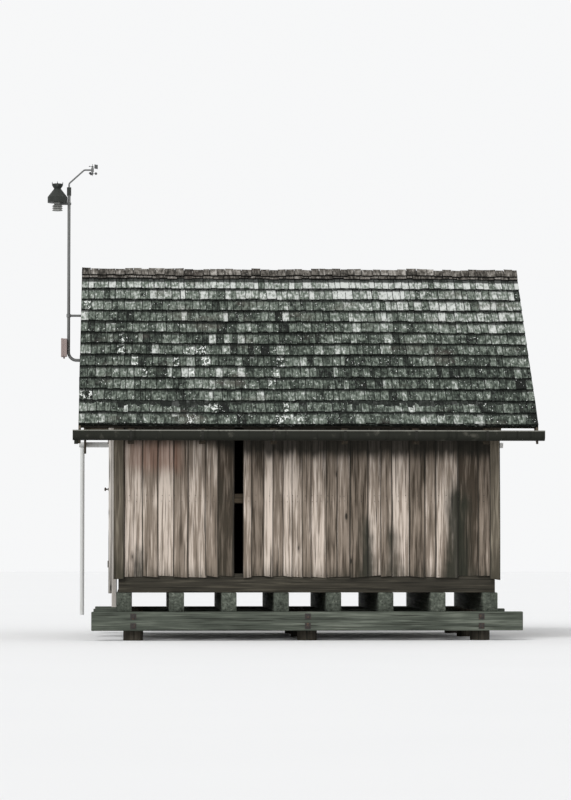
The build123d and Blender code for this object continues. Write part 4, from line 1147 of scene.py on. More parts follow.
@dataclass
class BoardTemplate:
    """A sawn board standing on its end, with eased edges and lengths that can bend.

    Attributes:
        width: Width across X.
        thickness: Thickness across Y.
        height: Length up Z.
        edge: Width of the eased edges.
        margin: Width along each side that darkens towards the joint.
        rows: Where it is cut into lengths, as shares of its height, closest under the eave.
    """

    width: float = 0.150
    thickness: float = 0.014
    height: float = 1.700
    edge: float = 0.0022
    margin: float = 0.019
    rows: tuple[float, ...] = (0.03, 0.08, 0.15, 0.24, 0.34, 0.45, 0.57, 0.69, 0.78, 0.83, 0.87, 0.91, 0.95)

    def build(self) -> bpy.types.Object:
        """Model the board, with its face towards -Y and its back on Y = 0."""
        half = self.width / 2
        piece = block("board", (-half, -self.thickness, 0.0), (half, 0.0, self.height), self.edge)
        cut_across(piece, 2, [self.height * row for row in self.rows])
        cut_across(piece, 0, (self.margin - half, half - self.margin))
        sides = np.abs(points_of(piece.data)[:, 0]) > half - 1.5 * self.edge
        store(piece.data, edge=sides.astype(float))
        return piece

    def fitted(
        self, draw: random.Random, width: float, thickness: float, height: float, ragged: float = 0.011
    ) -> Callable[[np.ndarray], np.ndarray]:
        """Shape of one board of given size, slightly cupped, bowed and cut askew.

        Args:
            draw: Random draws.
            width: Width of the board.
            thickness: Its thickness.
            height: Its length.
            ragged: How far its lower end is cut askew.

        Returns:
            A function that shapes the template's vertices.
        """
        cup = draw.uniform(-0.0018, 0.0018)
        bow = draw.uniform(-0.0020, 0.0020)
        wander = draw.uniform(-0.0025, 0.0025)
        phase = draw.uniform(0.0, 6.28)
        askew = draw.uniform(-ragged, ragged)
        short = draw.uniform(-ragged, ragged)

        def shape(points: np.ndarray) -> np.ndarray:
            """Stretch the template to the board's size and bend it."""
            across = points[:, 0] / (self.width / 2)
            up = points[:, 2] / self.height
            moved = points.copy()
            moved[:, 0] = points[:, 0] * width / self.width + wander * np.sin(5.0 * up + phase)
            moved[:, 1] = points[:, 1] * thickness / self.thickness
            moved[:, 1] += cup * across**2 + bow * np.sin(math.pi * up)
            moved[:, 2] = up * height + (1.0 - up) * (short + askew * across)
            return moved

        return shape


class Tone(Enum):
    """How a board has weathered, as the number that its material reads."""

    PALE = 0.75
    LIGHT = 0.35
    MID = 0.0
    BROWN = -0.4
    DARK = -0.85


class Side(Enum):
    """A side of the hut, as the turn about Z in degrees that brings the front wall to it."""

    FRONT = 0.0
    RIGHT = 90.0
    BACK = 180.0
    LEFT = 270.0


# Boards of the front wall from left to right, left of the missing one and right of it: width and tone
FRONT_LEFT_BOARDS = (
    (0.097, Tone.DARK),
    (0.177, Tone.PALE),
    (0.177, Tone.LIGHT),
    (0.152, Tone.PALE),
    (0.164, Tone.MID),
    (0.177, Tone.LIGHT),
    (0.139, Tone.MID),
    (0.1695, Tone.DARK),
)
FRONT_RIGHT_BOARDS = (
    (0.0935, Tone.LIGHT),
    (0.126, Tone.BROWN),
    (0.101, Tone.PALE),
    (0.102, Tone.MID),
    (0.101, Tone.PALE),
    (0.101, Tone.LIGHT),
    (0.101, Tone.MID),
    (0.152, Tone.LIGHT),
    (0.126, Tone.BROWN),
    (0.126, Tone.MID),
    (0.203, Tone.BROWN),
    (0.126, Tone.LIGHT),
    (0.126, Tone.MID),
    (0.177, Tone.PALE),
    (0.177, Tone.BROWN),
    (0.101, Tone.MID),
    (0.253, Tone.LIGHT),
    (0.202, Tone.DARK),
    (0.214, Tone.BROWN),
)


@dataclass(frozen=True)
class Board:
    """A board of a wall: its edges along the wall, its ends, its tone and whether it lies over its neighbours."""

    left: float
    right: float
    bottom: float
    top: float
    tone: float
    cover: bool


@dataclass
class Boarding:
    """Upright board-on-board walls: an inner layer on the frame and cover boards over its joints.

    Attributes:
        roof: The roof's shape.
        template: The modelled board.
        seed: Start of the random draws.
        lap: How far an inner board reaches under a cover board.
        plant_shadows: Painted shadows of plants low on the front wall, along the hut and up.
        warm_top: Where the front wall has kept a warmer colour.
        sheltered: How far down from its top the front wall gets painted shade under the eave.
        fade: Height over which that ends.
    """

    roof: RoofShape
    template: BoardTemplate
    seed: int = 5
    lap: float = 0.022
    plant_shadows: tuple[Patch, ...] = (
        Patch((0.60, 0.80), (0.06, 0.46), 0.8),
        Patch((0.89, 0.75), (0.05, 0.46), 0.65),
        Patch((1.62, 1.05), (0.15, 0.58), 0.95),
        Patch((-1.80, 0.72), (0.07, 0.24), 0.7),
        Patch((-0.86, 1.15), (0.10, 0.60), 0.4),
    )
    warm_top: Patch = Patch((-1.62, 1.98), (0.30, 0.16), 0.8)
    sheltered: float = 0.57
    fade: float = 0.24

    def __post_init__(self) -> None:
        """Measure the walls on the frame."""
        front_low, front_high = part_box("front_wall_left")
        self.half_length = -front_low.x
        self.half_depth = -front_low.y
        self.thickness = front_high.y - front_low.y
        self.bottom = front_low.z
        self.top = front_high.z
        self.slot_left = front_high.x
        self.slot_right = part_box("front_wall_right")[0].x
        self.door_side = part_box("left_gable_wall_back")[0].y
        self.door_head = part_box("left_gable_wall_top")[0].z
        self.board = self.template.build()

    def build(self) -> None:
        """Board all four walls."""
        draw = random.Random(self.seed)
        front = self._row(-self.half_length, FRONT_LEFT_BOARDS, self.slot_left)
        front += self._row(self.slot_right, FRONT_RIGHT_BOARDS, self.half_length)
        self._wall("front_wall_boards", Side.FRONT, front, draw, ("front_wall_left", "front_wall_right"))
        back = self._drawn_row(draw, -self.half_length, self.half_length)
        self._wall("back_wall_boards", Side.BACK, back, draw, ("back_wall",))
        inner = self.half_depth - self.thickness
        ridge = self.roof.height(0.0, 0.0)
        right = self._drawn_row(draw, -inner, 0.0, ridge) + self._drawn_row(draw, 0.0, inner, ridge)
        self._wall("right_gable_boards", Side.RIGHT, right, draw, ("right_gable_wall",))
        left = self._drawn_row(draw, -inner, -self.door_side, ridge)
        for start, end in ((-self.door_side, 0.0), (0.0, self.door_side)):
            left += self._drawn_row(draw, start, end, ridge, self.door_head)
        left += self._drawn_row(draw, self.door_side, inner, ridge)
        nodes = ("left_gable_wall_front", "left_gable_wall_back", "left_gable_wall_top")
        self._wall("left_gable_boards", Side.LEFT, left, draw, nodes)
        discard(self.board)

    def _row(self, start: float, boards: Sequence[tuple[float, Tone]], end: float) -> list[Board]:
        """Boards of given widths from one end of a stretch to the other, cover boards first and last."""
        row = []
        left = start
        for number, (width, tone) in enumerate(boards):
            right = end if number == len(boards) - 1 else left + width
            row.append(Board(left, right, self.bottom, self.top, tone.value, number % 2 == 0))
            left = right
        return self._lapped(row, start, end)

    def _drawn_row(
        self, draw: random.Random, start: float, end: float, top: float | None = None, bottom: float | None = None
    ) -> list[Board]:
        """Boards of random width and tone that fill a stretch of wall."""
        count = max(2, round((end - start) / 0.148))
        shares = [draw.uniform(0.7, 1.35) for _ in range(count)]
        tones = (Tone.PALE, Tone.LIGHT, Tone.LIGHT, Tone.MID, Tone.MID, Tone.BROWN, Tone.DARK)
        row = []
        left = start
        for number, share in enumerate(shares):
            right = end if number == count - 1 else left + (end - start) * share / sum(shares)
            tone = draw.choice(tones).value
            row.append(Board(left, right, bottom or self.bottom, top or self.top, tone, number % 2 == 0))
            left = right
        return self._lapped(row, start, end)

    def _lapped(self, row: list[Board], start: float, end: float) -> list[Board]:
        """The row with its inner boards widened under their neighbours, within the stretch."""
        return [
            board
            if board.cover
            else Board(
                max(start, board.left - self.lap),
                min(end, board.right + self.lap),
                board.bottom,
                board.top,
                board.tone,
                False,
            )
            for board in row
        ]

    def _wall(
        self, name: str, side: Side, row: list[Board], draw: random.Random, nodes: Sequence[str]
    ) -> None:
        """Build one wall and hand it over.

        Args:
            name: Name of the piece.
            side: Side of the hut.
            row: Its boards.
            draw: Random draws.
            nodes: Frame nodes that the boards stand for.
        """
        stack = Stack(name)
        gable = side in (Side.LEFT, Side.RIGHT)
        face = self.half_length if gable else self.half_depth
        turn = Matrix.Rotation(math.radians(side.value), 4, "Z")
        layer = self.thickness / 2
        for board in row:
            width = board.right - board.left - (0.003 if board.cover else 0.0)
            height = board.top - board.bottom
            back = -(face - self.thickness + (layer if board.cover else 0.0))
            shape = self.template.fitted(draw, width, layer + draw.uniform(-0.001, 0.0005), height)
            spot = Matrix.Translation(((board.left + board.right) / 2, back, board.bottom))
            stack.place(
                self.board,
                turn @ spot,
                shape,
                self._marks(side),
                tone=board.tone + draw.uniform(-0.15, 0.15),
                seed=draw.random(),
            )
        piece = stack.joined()
        if gable:
            self._trim_under_roof(piece)
        hand_over(piece, Finishes.boards.material(Grain.UPRIGHT), HUT, nodes)

    def _trim_under_roof(self, piece: bpy.types.Object) -> None:
        """Cut a gable's boards along both slopes, under the roof boards."""
        depth = self.roof.shingle_depth + 0.024
        crest = (0.0, 0.0, self.roof.height(0.0, depth))
        with editing(piece):
            for back in (-1, 1):
                normal = (0.0, back * math.sin(self.roof.pitch), math.cos(self.roof.pitch))
                bpy.ops.mesh.select_all(action="SELECT")
                bpy.ops.mesh.bisect(plane_co=crest, plane_no=normal, use_fill=True, clear_outer=True)

    def _marks(self, side: Side) -> Callable[[np.ndarray], dict]:
        """Damp, painted shadows of plants, warmth and painted shade under the eave on the boards of a side, by
        place.
        """
        gable = side in (Side.LEFT, Side.RIGHT)

        def marks(points: np.ndarray) -> dict:
            """Stored numbers for the places of a board's vertices."""
            x, z = points[:, 0], points[:, 2]
            damp = 0.5 * np.clip((self.bottom + 0.25 - z) / 0.25, 0.0, 1.0)
            warm = np.zeros_like(z)
            black = np.zeros_like(z)
            # Painted shade under the eave on the long walls, starting higher on the left of the front wall
            if not gable:
                left = self.sheltered - 0.14
                start = np.interp(x, (-1.1, -0.6), (left, self.sheltered)) if side is Side.FRONT else left
                black = np.clip((z - self.top + start) / self.fade, 0.0, 1.0)
            if side is Side.FRONT:
                # Painted shadows of plants on the front wall, stored with the damp
                for shadow_patch in self.plant_shadows:
                    damp = np.maximum(damp, shadow_patch.at(x, z))
                warm = self.warm_top.at(x, z)
            return {"damp": damp, "warm": warm, "shade": black}

        return marks


@dataclass
class CornerBoards:
    """Pairs of dark boards round the corners of the walls.

    Attributes:
        template: The modelled board.
        seed: Start of the random draws.
        width: Width of a board on the long walls.
        thickness: Its thickness.
    """

    template: BoardTemplate
    seed: int = 23
    width: float = 0.110
    thickness: float = 0.024

    def build(self) -> None:
        """Model the corner boards: the one on the long wall covers the edge of the one on the gable."""
        draw = random.Random(self.seed)
        low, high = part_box("corner_boards")
        board = self.template.build()
        stack = Stack("corner_board_pairs")
        height = high.z - low.z
        narrow = self.width - self.thickness
        for side in Side:
            gable = side in (Side.LEFT, Side.RIGHT)
            face = high.x if gable else high.y
            reach = high.y - self.thickness if gable else high.x
            width = narrow if gable else self.width
            turn = Matrix.Rotation(math.radians(side.value), 4, "Z")
            for hand in (-1, 1):
                spot = Matrix.Translation((hand * (reach - width / 2), -(face - self.thickness), low.z))
                shape = self.template.fitted(draw, width, self.thickness, height, 0.008)
                tone = draw.uniform(-0.3, 0.3)
                stack.place(board, turn @ spot, shape, self._marks(low.z), tone=tone, seed=draw.random())
        discard(board)
        finish = Finishes.corner
        hand_over(stack.joined(), finish.material(Grain.UPRIGHT), HUT, ("corner_boards",))

    @staticmethod
    def _marks(bottom: float) -> Callable[[np.ndarray], dict]:
        """Damp near the lower ends."""
        return lambda points: {"damp": 0.7 * np.clip((bottom + 0.5 - points[:, 2]) / 0.5, 0.0, 1.0)}


@dataclass
class Planks:
    """Rows of lying planks: the floor and the boards under the shingles.

    Attributes:
        template: The modelled board.
        roof: The roof's shape.
        seed: Start of the random draws.
        gap: Open joint between two planks.
    """

    template: BoardTemplate
    roof: RoofShape
    seed: int = 41
    gap: float = 0.003

    def build(self) -> None:
        """Lay the floor and both slopes."""
        draw = random.Random(self.seed)
        board = self.template.build()
        self._floor(draw, board)
        for back in (False, True):
            self._slope(draw, board, back)
        discard(board)

    def _lay(
        self,
        stack: Stack,
        draw: random.Random,
        board: bpy.types.Object,
        base: Matrix,
        run: tuple[float, float],
        length: float,
        thickness: float,
        width: float,
    ) -> None:
        """Lay planks side by side.

        Args:
            stack: Where the planks go.
            draw: Random draws.
            board: The modelled board.
            base: Frame with the planks' length along X, their row up Y and their top at Z = 0.
            run: Start and end of the row.
            length: Length of the planks.
            thickness: Their thickness.
            width: Their usual width.
        """
        count = round((run[1] - run[0]) / width)
        pitch = (run[1] - run[0]) / count
        lying = Matrix(((0, 0, 1, 0), (1, 0, 0, 0), (0, 1, 0, 0), (0, 0, 0, 1)))
        for number in range(count):
            middle = run[0] + (number + 0.5) * pitch
            shape = self.template.fitted(draw, pitch - self.gap, thickness, length, 0.002)
            spot = Matrix.Translation((-length / 2, middle, 0.0))
            stack.place(board, base @ spot @ lying, shape, tone=draw.uniform(-0.5, 0.5), seed=draw.random())

    def _floor(self, draw: random.Random, board: bpy.types.Object) -> None:
        """Lay the floor inside the sills and the short planks in the doorway."""
        low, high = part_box("floor_boards")
        inner = high.x
        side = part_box("left_gable_wall_back")[0].y
        stack = Stack("floor_planks")
        top = Matrix.Translation((0.0, 0.0, high.z))
        thickness = high.z - low.z
        self._lay(stack, draw, board, top, (low.y, high.y), 2 * inner, thickness, 0.144)
        reach = -low.x - inner
        doorway = Matrix.Translation((-inner - reach / 2, 0.0, high.z))
        self._lay(stack, draw, board, doorway, (-side, side), reach, thickness, 0.144)
        finish = Finishes.floor
        hand_over(stack.joined(), finish.material(Grain.ALONG_X), HUT, ("floor_boards",))

    def _slope(self, draw: random.Random, board: bpy.types.Object, back: bool) -> None:
        """Lay the boards under the shingles of one slope."""
        name = "back" if back else "front"
        low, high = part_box(f"{name}_roof_boards")
        stack = Stack(f"{name}_roof_planks")
        thickness = 0.024
        depth = self.roof.shingle_depth
        base = self.roof.slope(back) @ Matrix.Translation((0.0, 0.0, -depth))
        end = self.roof.length - (depth + thickness) * math.tan(self.roof.pitch)
        self._lay(stack, draw, board, base, (0.003, end), high.x - low.x, thickness, 0.205)
        hand_over(
            stack.joined(), Finishes.roof.material(Grain.ALONG_X), HUT, (f"{name}_roof_boards",)
        )


@dataclass
class SawnTimbers:
    """The frame's timbers with eased edges, each with its own grain.

    Attributes:
        edge: Width of the eased edges.
        seed: Start of the random draws.
    """

    edge: float = 0.005
    seed: int = 61

    def build(self, frame: dict) -> None:
        """Model every timber from its node's own mesh.

        Args:
            frame: The loaded frame.
        """
        draw = random.Random(self.seed)
        timbers = (
            ("walings", Finishes.wet, Grain.ALONG_X, 0.008),
            ("floor_joists", Finishes.wet, Grain.ALONG_Y, 0.008),
            ("long_sills", Finishes.sills, Grain.ALONG_X, 0.006),
            ("gable_sills", Finishes.sills, Grain.ALONG_Y, 0.006),
            ("wall_posts", Finishes.frame, Grain.UPRIGHT, self.edge),
            ("wall_rails", Finishes.frame, Grain.ALONG_X, self.edge),
            ("wall_plates", Finishes.frame, Grain.ALONG_X, self.edge),
            ("tie_beams", Finishes.frame, Grain.ALONG_Y, self.edge),
            ("ridge_beam", Finishes.roof, Grain.ALONG_X, 0.004),
            ("king_posts", Finishes.frame, Grain.UPRIGHT, self.edge),
            ("front_rafters", Finishes.roof, Grain.UP_FRONT_SLOPE, 0.004),
            ("back_rafters", Finishes.roof, Grain.UP_BACK_SLOPE, 0.004),
            ("door_jambs", Finishes.casing, Grain.UPRIGHT, 0.003),
            ("door_head_and_threshold", Finishes.casing, Grain.ALONG_Y, 0.003),
        )
        for node, finish, grain, edge in timbers:
            piece = self._eased(frame["nodes"][node], f"sawn_{node}", edge, draw)
            hand_over(piece, finish.material(grain), HUT, (node,))
        for node in ("right_bargeboards", "left_bargeboards"):
            piece = self._eased(frame["nodes"][node], f"sawn_{node}", 0.003, draw)
            self._two_slopes(piece)
            LOG.info("%s has its grain up both slopes", piece.name)

    def _eased(
        self, node: bpy.types.Object, name: str, edge: float, draw: random.Random
    ) -> bpy.types.Object:
        """Copy of a node's mesh with clean faces and eased edges.

        Args:
            node: The frame's node.
            name: Name of the piece.
            edge: Width of the eased edges.
            draw: Random draws, one for each timber.

        Returns:
            The piece.
        """
        piece = bpy.data.objects.new(name, node.data.copy())
        bpy.context.scene.collection.objects.link(piece)
        only(piece)
        bpy.ops.mesh.customdata_custom_splitnormals_clear()
        with editing(piece):
            bpy.ops.mesh.select_all(action="SELECT")
            bpy.ops.mesh.remove_doubles(threshold=0.00005)
            bpy.ops.mesh.dissolve_limited(angle_limit=math.radians(2))
        bevel = piece.modifiers.new("eased", "BEVEL")
        bevel.width = edge
        bevel.segments = 2
        bevel.limit_method = "ANGLE"
        bevel.angle_limit = math.radians(40)
        bpy.ops.object.modifier_apply(modifier=bevel.name)
        self._seed_solids(piece.data, draw)
        return piece

    @staticmethod
    def _seed_solids(mesh: bpy.types.Mesh, draw: random.Random) -> None:
        """Store a random seed and tone for each separate solid of a mesh."""
        shape = bmesh.new()
        shape.from_mesh(mesh)
        shape.verts.ensure_lookup_table()
        seeds = np.zeros(len(shape.verts))
        tones = np.zeros(len(shape.verts))
        left = set(range(len(shape.verts)))
        while left:
            seed, tone = draw.random(), draw.uniform(-0.25, 0.25)
            waiting = [min(left)]
            left.discard(waiting[0])
            while waiting:
                number = waiting.pop()
                seeds[number], tones[number] = seed, tone
                for edge in shape.verts[number].link_edges:
                    other = edge.other_vert(shape.verts[number]).index
                    if other in left:
                        left.discard(other)
                        waiting.append(other)
        shape.free()
        store(mesh, seed=seeds, tone=tones)

    @staticmethod
    def _two_slopes(piece: bpy.types.Object) -> None:
        """Give a pair of bargeboards its grain up the slope on each side, and hand it over."""
        finish = Finishes.corner
        piece.data.materials.clear()
        for grain in (Grain.UP_FRONT_SLOPE, Grain.UP_BACK_SLOPE):
            piece.data.materials.append(finish.material(grain))
        for face in piece.data.polygons:
            face.material_index = 0 if face.center.y < 0 else 1
        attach(piece, HUT)
        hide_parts(piece.name.removeprefix("sawn_"))


@dataclass
class DoorLeaf:
    """Ledged door: upright boards on three ledges, which go inside the casing.

    Attributes:
        template: The modelled board.
        seed: Start of the random draws.
        boards: Number of upright boards.
        ledge: Width of a ledge.
    """

    template: BoardTemplate
    seed: int = 83
    boards: int = 6
    ledge: float = 0.120

    def build(self) -> None:
        """Model the leaf and hand it over, riding on the door."""
        draw = random.Random(self.seed)
        low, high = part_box("door_leaf")
        ledge_thickness = 0.022
        board_back = high.x - ledge_thickness
        stack = Stack("door_boards")
        board = self.template.build()
        turn = Matrix.Rotation(math.radians(Side.LEFT.value), 4, "Z")
        pitch = (high.y - low.y) / self.boards
        for number in range(self.boards):
            middle = -high.y + (number + 0.5) * pitch
            shape = self.template.fitted(draw, pitch - 0.004, board_back - low.x, high.z - low.z, 0.003)
            spot = Matrix.Translation((middle, board_back, low.z))
            stack.place(
                board,
                turn @ spot,
                shape,
                lambda points: {"damp": 0.6 * np.clip((low.z + 0.3 - points[:, 2]) / 0.3, 0.0, 1.0)},
                tone=draw.uniform(-0.3, 0.5),
                seed=draw.random(),
                edge=0.0,
            )
        discard(board)
        leaf = stack.joined()
        hand_over(leaf, Finishes.casing.material(Grain.UPRIGHT), DOOR, ("door_leaf",))
        self._ledges(low, high, board_back, draw)

    def _ledges(self, low: Vector, high: Vector, board_back: float, draw: random.Random) -> None:
        """Model the three ledges on the inside of the leaf."""
        end = 0.170
        side = 0.375
        span = (high.z - low.z - 2 * end - self.ledge) / 2
        stack = Stack("door_ledges")
        for number in range(3):
            foot = low.z + end + number * span
            ledge = block("ledge", (board_back, -side, foot), (high.x, side, foot + self.ledge), 0.004)
            stack.place(ledge, Matrix.Identity(4), seed=draw.random(), tone=draw.uniform(-0.2, 0.2))
            discard(ledge)
        hand_over(stack.joined(), Finishes.casing.material(Grain.ALONG_Y), DOOR)


@dataclass
class Fastenings:
    """Nails in the boards and bolts through the walings.

    Attributes:
        nail_radius: Radius of a nail head.
        nail_head: How far it stands out of the board.
        bolt_radius: Radius of a bolt head, to its corners.
        washer: Side of a square washer.
        seed: Start of the random draws.
    """

    nail_radius: float = 0.0042
    nail_head: float = 0.0025
    bolt_radius: float = 0.018
    washer: float = 0.062
    seed: int = 97

    def build(self, boarding: Boarding) -> None:
        """Drive the nails and bolts.

        Args:
            boarding: The boarded walls, for their sizes.
        """
        self._bolts()
        self._nails(boarding)

    def _bolts(self) -> None:
        """Bolts with washers where the walings cross the piles, on the outer faces."""
        low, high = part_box("walings")
        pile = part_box("piles")[1].x - 0.105
        head = self._bolt_template()
        stack = Stack("waling_bolts")
        middle = (low.z + high.z) / 2
        for side in (Side.FRONT, Side.BACK):
            turn = Matrix.Rotation(math.radians(side.value), 4, "Z")
            for x in (-pile, 0.0, pile):
                for rise in (-0.05, 0.05):
                    stack.place(head, turn @ Matrix.Translation((x, low.y, middle + rise)), seed=x)
        discard(head)
        hand_over(stack.joined(), Finishes.iron.material())

    def _bolt_template(self) -> bpy.types.Object:
        """Hexagonal head on a square washer, facing -Y on Y = 0."""
        half = self.washer / 2
        washer = block("washer", (-half, -0.005, -half), (half, 0.0, half), 0.001)
        bpy.ops.mesh.primitive_cylinder_add(
            vertices=6,
            radius=self.bolt_radius,
            depth=0.012,
            location=(0.0, -0.011, 0.0),
            rotation=(math.radians(90), 0.0, 0.0),
        )
        head = bpy.context.active_object
        only(head)
        bpy.ops.object.transform_apply(location=True, rotation=True, scale=True)
        with editing(head):
            bpy.ops.mesh.select_all(action="SELECT")
            bpy.ops.mesh.bevel(offset=0.0015, segments=1, affect="EDGES")
        only(washer, head)
        bpy.ops.object.join()
        return washer

    def _nails(self, boarding: Boarding) -> None:
        """Two nails in every board at the sill, the rail and the plate of each wall."""
        draw = random.Random(self.seed)
        radius, head = self.nail_radius, self.nail_head
        outline = ((0.0, -0.0005), (radius, -0.0005), (radius, head / 2), (0.7 * radius, head), (0.0, head))
        nail = turned("nail", outline, 6)
        nail.data.transform(Matrix.Rotation(math.pi / 2, 4, "X"))
        stack = Stack("board_nails")
        rows = (boarding.bottom + 0.018, 1.47, 1.53, boarding.top - 0.06)
        for side in Side:
            gable = side in (Side.LEFT, Side.RIGHT)
            face = boarding.half_length if gable else boarding.half_depth
            reach = boarding.half_depth if gable else boarding.half_length
            turn = Matrix.Rotation(math.radians(side.value), 4, "Z")
            along = -reach + 0.14
            while along < reach - 0.13:
                in_slot = side is Side.FRONT and boarding.slot_left - 0.01 < along < boarding.slot_right + 0.01
                in_door = side is Side.LEFT and abs(along) < boarding.door_side + 0.09
                if not (in_slot or in_door):
                    for height in rows:
                        place = (along + draw.uniform(-0.004, 0.004), -face, height + draw.uniform(-0.006, 0.006))
                        stack.place(nail, turn @ Matrix.Translation(place))
                along += draw.uniform(0.045, 0.085)
        discard(nail)
        hand_over(stack.joined(), Finishes.iron.material())


@dataclass
class GutterBeads:
    """Rolled beads along the outer rims of both gutters; the front one is paler, as a painted highlight.

    Attributes:
        radius: Radius of a bead.
    """

    radius: float = 0.0065

    def build(self) -> None:
        """Model a bead for each gutter."""
        for name, side, finish in (
            # The front bead carries the painted highlight
            ("front_gutter", -1, Finishes.rim_highlight),
            ("back_gutter", 1, Finishes.gutter_pale),
        ):
            low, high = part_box(name)
            rim_y = low.y if side < 0 else high.y
            bpy.ops.mesh.primitive_cylinder_add(
                vertices=12,
                radius=self.radius,
                depth=high.x - low.x,
                location=((low.x + high.x) / 2, rim_y - side * self.radius * 0.6, high.z),
                rotation=(0.0, math.radians(90), 0.0),
            )
            bead = bpy.context.active_object
            bead.name = bead.data.name = f"{name}_bead"
            only(bead)
            bpy.ops.object.transform_apply(location=True, rotation=True, scale=True)
            with editing(bead) as mesh:
                bpy.ops.mesh.select_mode(type="FACE")
                bpy.ops.mesh.select_all(action="DESELECT")
                for face in mesh.faces:
                    face.select = abs(face.normal.x) > 0.9
                bpy.ops.mesh.inset(thickness=0.0015, use_individual=True)
                bpy.ops.transform.resize(value=(0.9995, 1.0, 1.0), center_override=(0.0, rim_y, high.z))
            hand_over(bead, finish.material())


@dataclass
class WeatherInstruments:
    """Small parts of the rain collector that the frame leaves out.

    Attributes:
        rim: Radius of the rim.
        roll: Radius of its rolled edge.
        roll_sides: Sides of the rolled edge.
        peg: Outline of a short peg that keeps birds off the rim.
        pegs: Number of pegs.
    """

    rim: float = 0.058
    roll: float = 0.004
    roll_sides: int = 10
    peg: Outline = ((0.0, 0.0), (0.0040, 0.0), (0.0036, 0.0150), (0.0022, 0.0240), (0.0, 0.0260))
    pegs: int = 4

    def build(self) -> None:
        """Model the rolled rim and the pegs on it."""
        low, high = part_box("rain_collector")
        seat = Matrix.Translation(((low.x + high.x) / 2, (low.y + high.y) / 2, high.z))
        angles = [2 * math.pi * side / self.roll_sides for side in range(self.roll_sides + 1)]
        section = [(self.rim + self.roll * math.cos(angle), self.roll * math.sin(angle)) for angle in angles]
        rim, rims = turned("rim", section, 40), Stack("collector_rim")
        rims.place(rim, seat)
        peg, pegs = turned("peg", self.peg, 8), Stack("collector_pegs")
        for number in range(self.pegs):
            turn = Matrix.Rotation(2 * math.pi * number / self.pegs, 4, "Z")
            pegs.place(peg, seat @ turn @ Matrix.Translation((self.rim, 0.0, 0.0)))
        discard(rim, peg)
        for stack in (rims, pegs):
            hand_over(stack.joined(), Finishes.black.material())


@dataclass
class CupRotor:
    """Three thin dished cups on rods round a hub, turning on the lower spindle.

    Attributes:
        hub: Outline of the hub, round its bore.
        arm: From the axis to the middle of a cup.
        rod: Outline of a rod, along its length from the axis.
        cup: Outline of a cup from its tip out to the rim and back inside.
        rod_back: How far a rod lies behind the rim of its cup.
        cups: Number of cups.
    """

    hub: Outline = (
        (0.0031, -0.012),
        (0.0088, -0.012),
        (0.0100, -0.0105),
        (0.0100, 0.0105),
        (0.0088, 0.012),
        (0.0031, 0.012),
        (0.0031, -0.012),
    )
    arm: float = 0.038
    rod: Outline = ((0.0, 0.008), (0.0020, 0.008), (0.0015, 0.0238), (0.0, 0.0238))
    cup: Outline = (
        (0.0, -0.0220),
        (0.0060, -0.0208),
        (0.0108, -0.0170),
        (0.0138, -0.0105),
        (0.0148, -0.0030),
        (0.0150, 0.0),
        (0.0141, 0.0),
        (0.0138, -0.0030),
        (0.0128, -0.0100),
        (0.0099, -0.0158),
        (0.0055, -0.0192),
        (0.0, -0.0203),
    )
    rod_back: float = 0.004
    cups: int = 3

    def build(self, joint: dict) -> None:
        """Model the rotor.

        Args:
            joint: The joint that it turns on.
        """
        spot = Matrix.Translation(joint["pos_m"])
        stack = Stack("cup_rotor_cups")
        hub, rod, cup = turned("hub", self.hub), turned("rod", self.rod, 8), turned("cup", self.cup, 20)
        stack.place(hub, spot)
        for number in range(self.cups):
            turn = spot @ Matrix.Rotation(2 * math.pi * number / self.cups, 4, "Z")
            along = Matrix.Translation((0.0, -self.rod_back, 0.0)) @ Matrix.Rotation(math.pi / 2, 4, "Y")
            stack.place(rod, turn @ along)
            facing = Matrix.Translation((self.arm, 0.0, 0.0)) @ Matrix.Rotation(-math.pi / 2, 4, "X")
            stack.place(cup, turn @ facing)
        discard(hub, rod, cup)
        hand_over(stack.joined(), Finishes.grey.material(), CUP_ROTOR, ("wind_cups",))


@dataclass
class RadiationShield:
    """Dished plates round a core, under the rain collector.

    Attributes:
        core: Radius of the core.
        plate: Radius of a plate.
        first: From the top of the core down to the first plate.
        pitch: From one plate to the next.
        dish: How far a plate falls from the core to its edge.
        lip: Height of its edge.
        plates: Number of plates.
    """

    core: float = 0.038
    plate: float = 0.058
    first: float = 0.024
    pitch: float = 0.023
    dish: float = 0.015
    lip: float = 0.004
    plates: int = 3

    def build(self) -> None:
        """Model the core and its plates as one turned piece."""
        low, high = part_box("radiation_shield")
        outline = [(0.0, 0.0), (self.core, 0.0)]
        middle = (self.core + self.plate) / 2
        for number in range(self.plates):
            top = -self.first - number * self.pitch
            outline += [
                (self.core, top),
                (middle, top - 0.35 * self.dish),
                (self.plate, top - self.dish),
                (self.plate, top - self.dish - self.lip),
                (middle, top - 0.35 * self.dish - self.lip),
                (self.core, top - self.lip),
            ]
        outline += [(self.core, low.z - high.z), (0.0, low.z - high.z)]
        stack = Stack("shield_plates")
        plates = turned("plates", outline, 40)
        stack.place(plates, Matrix.Translation(((low.x + high.x) / 2, (low.y + high.y) / 2, high.z)))
        discard(plates)
        hand_over(
            stack.joined(), Finishes.shield.material(), HUT, ("radiation_shield",)
        )


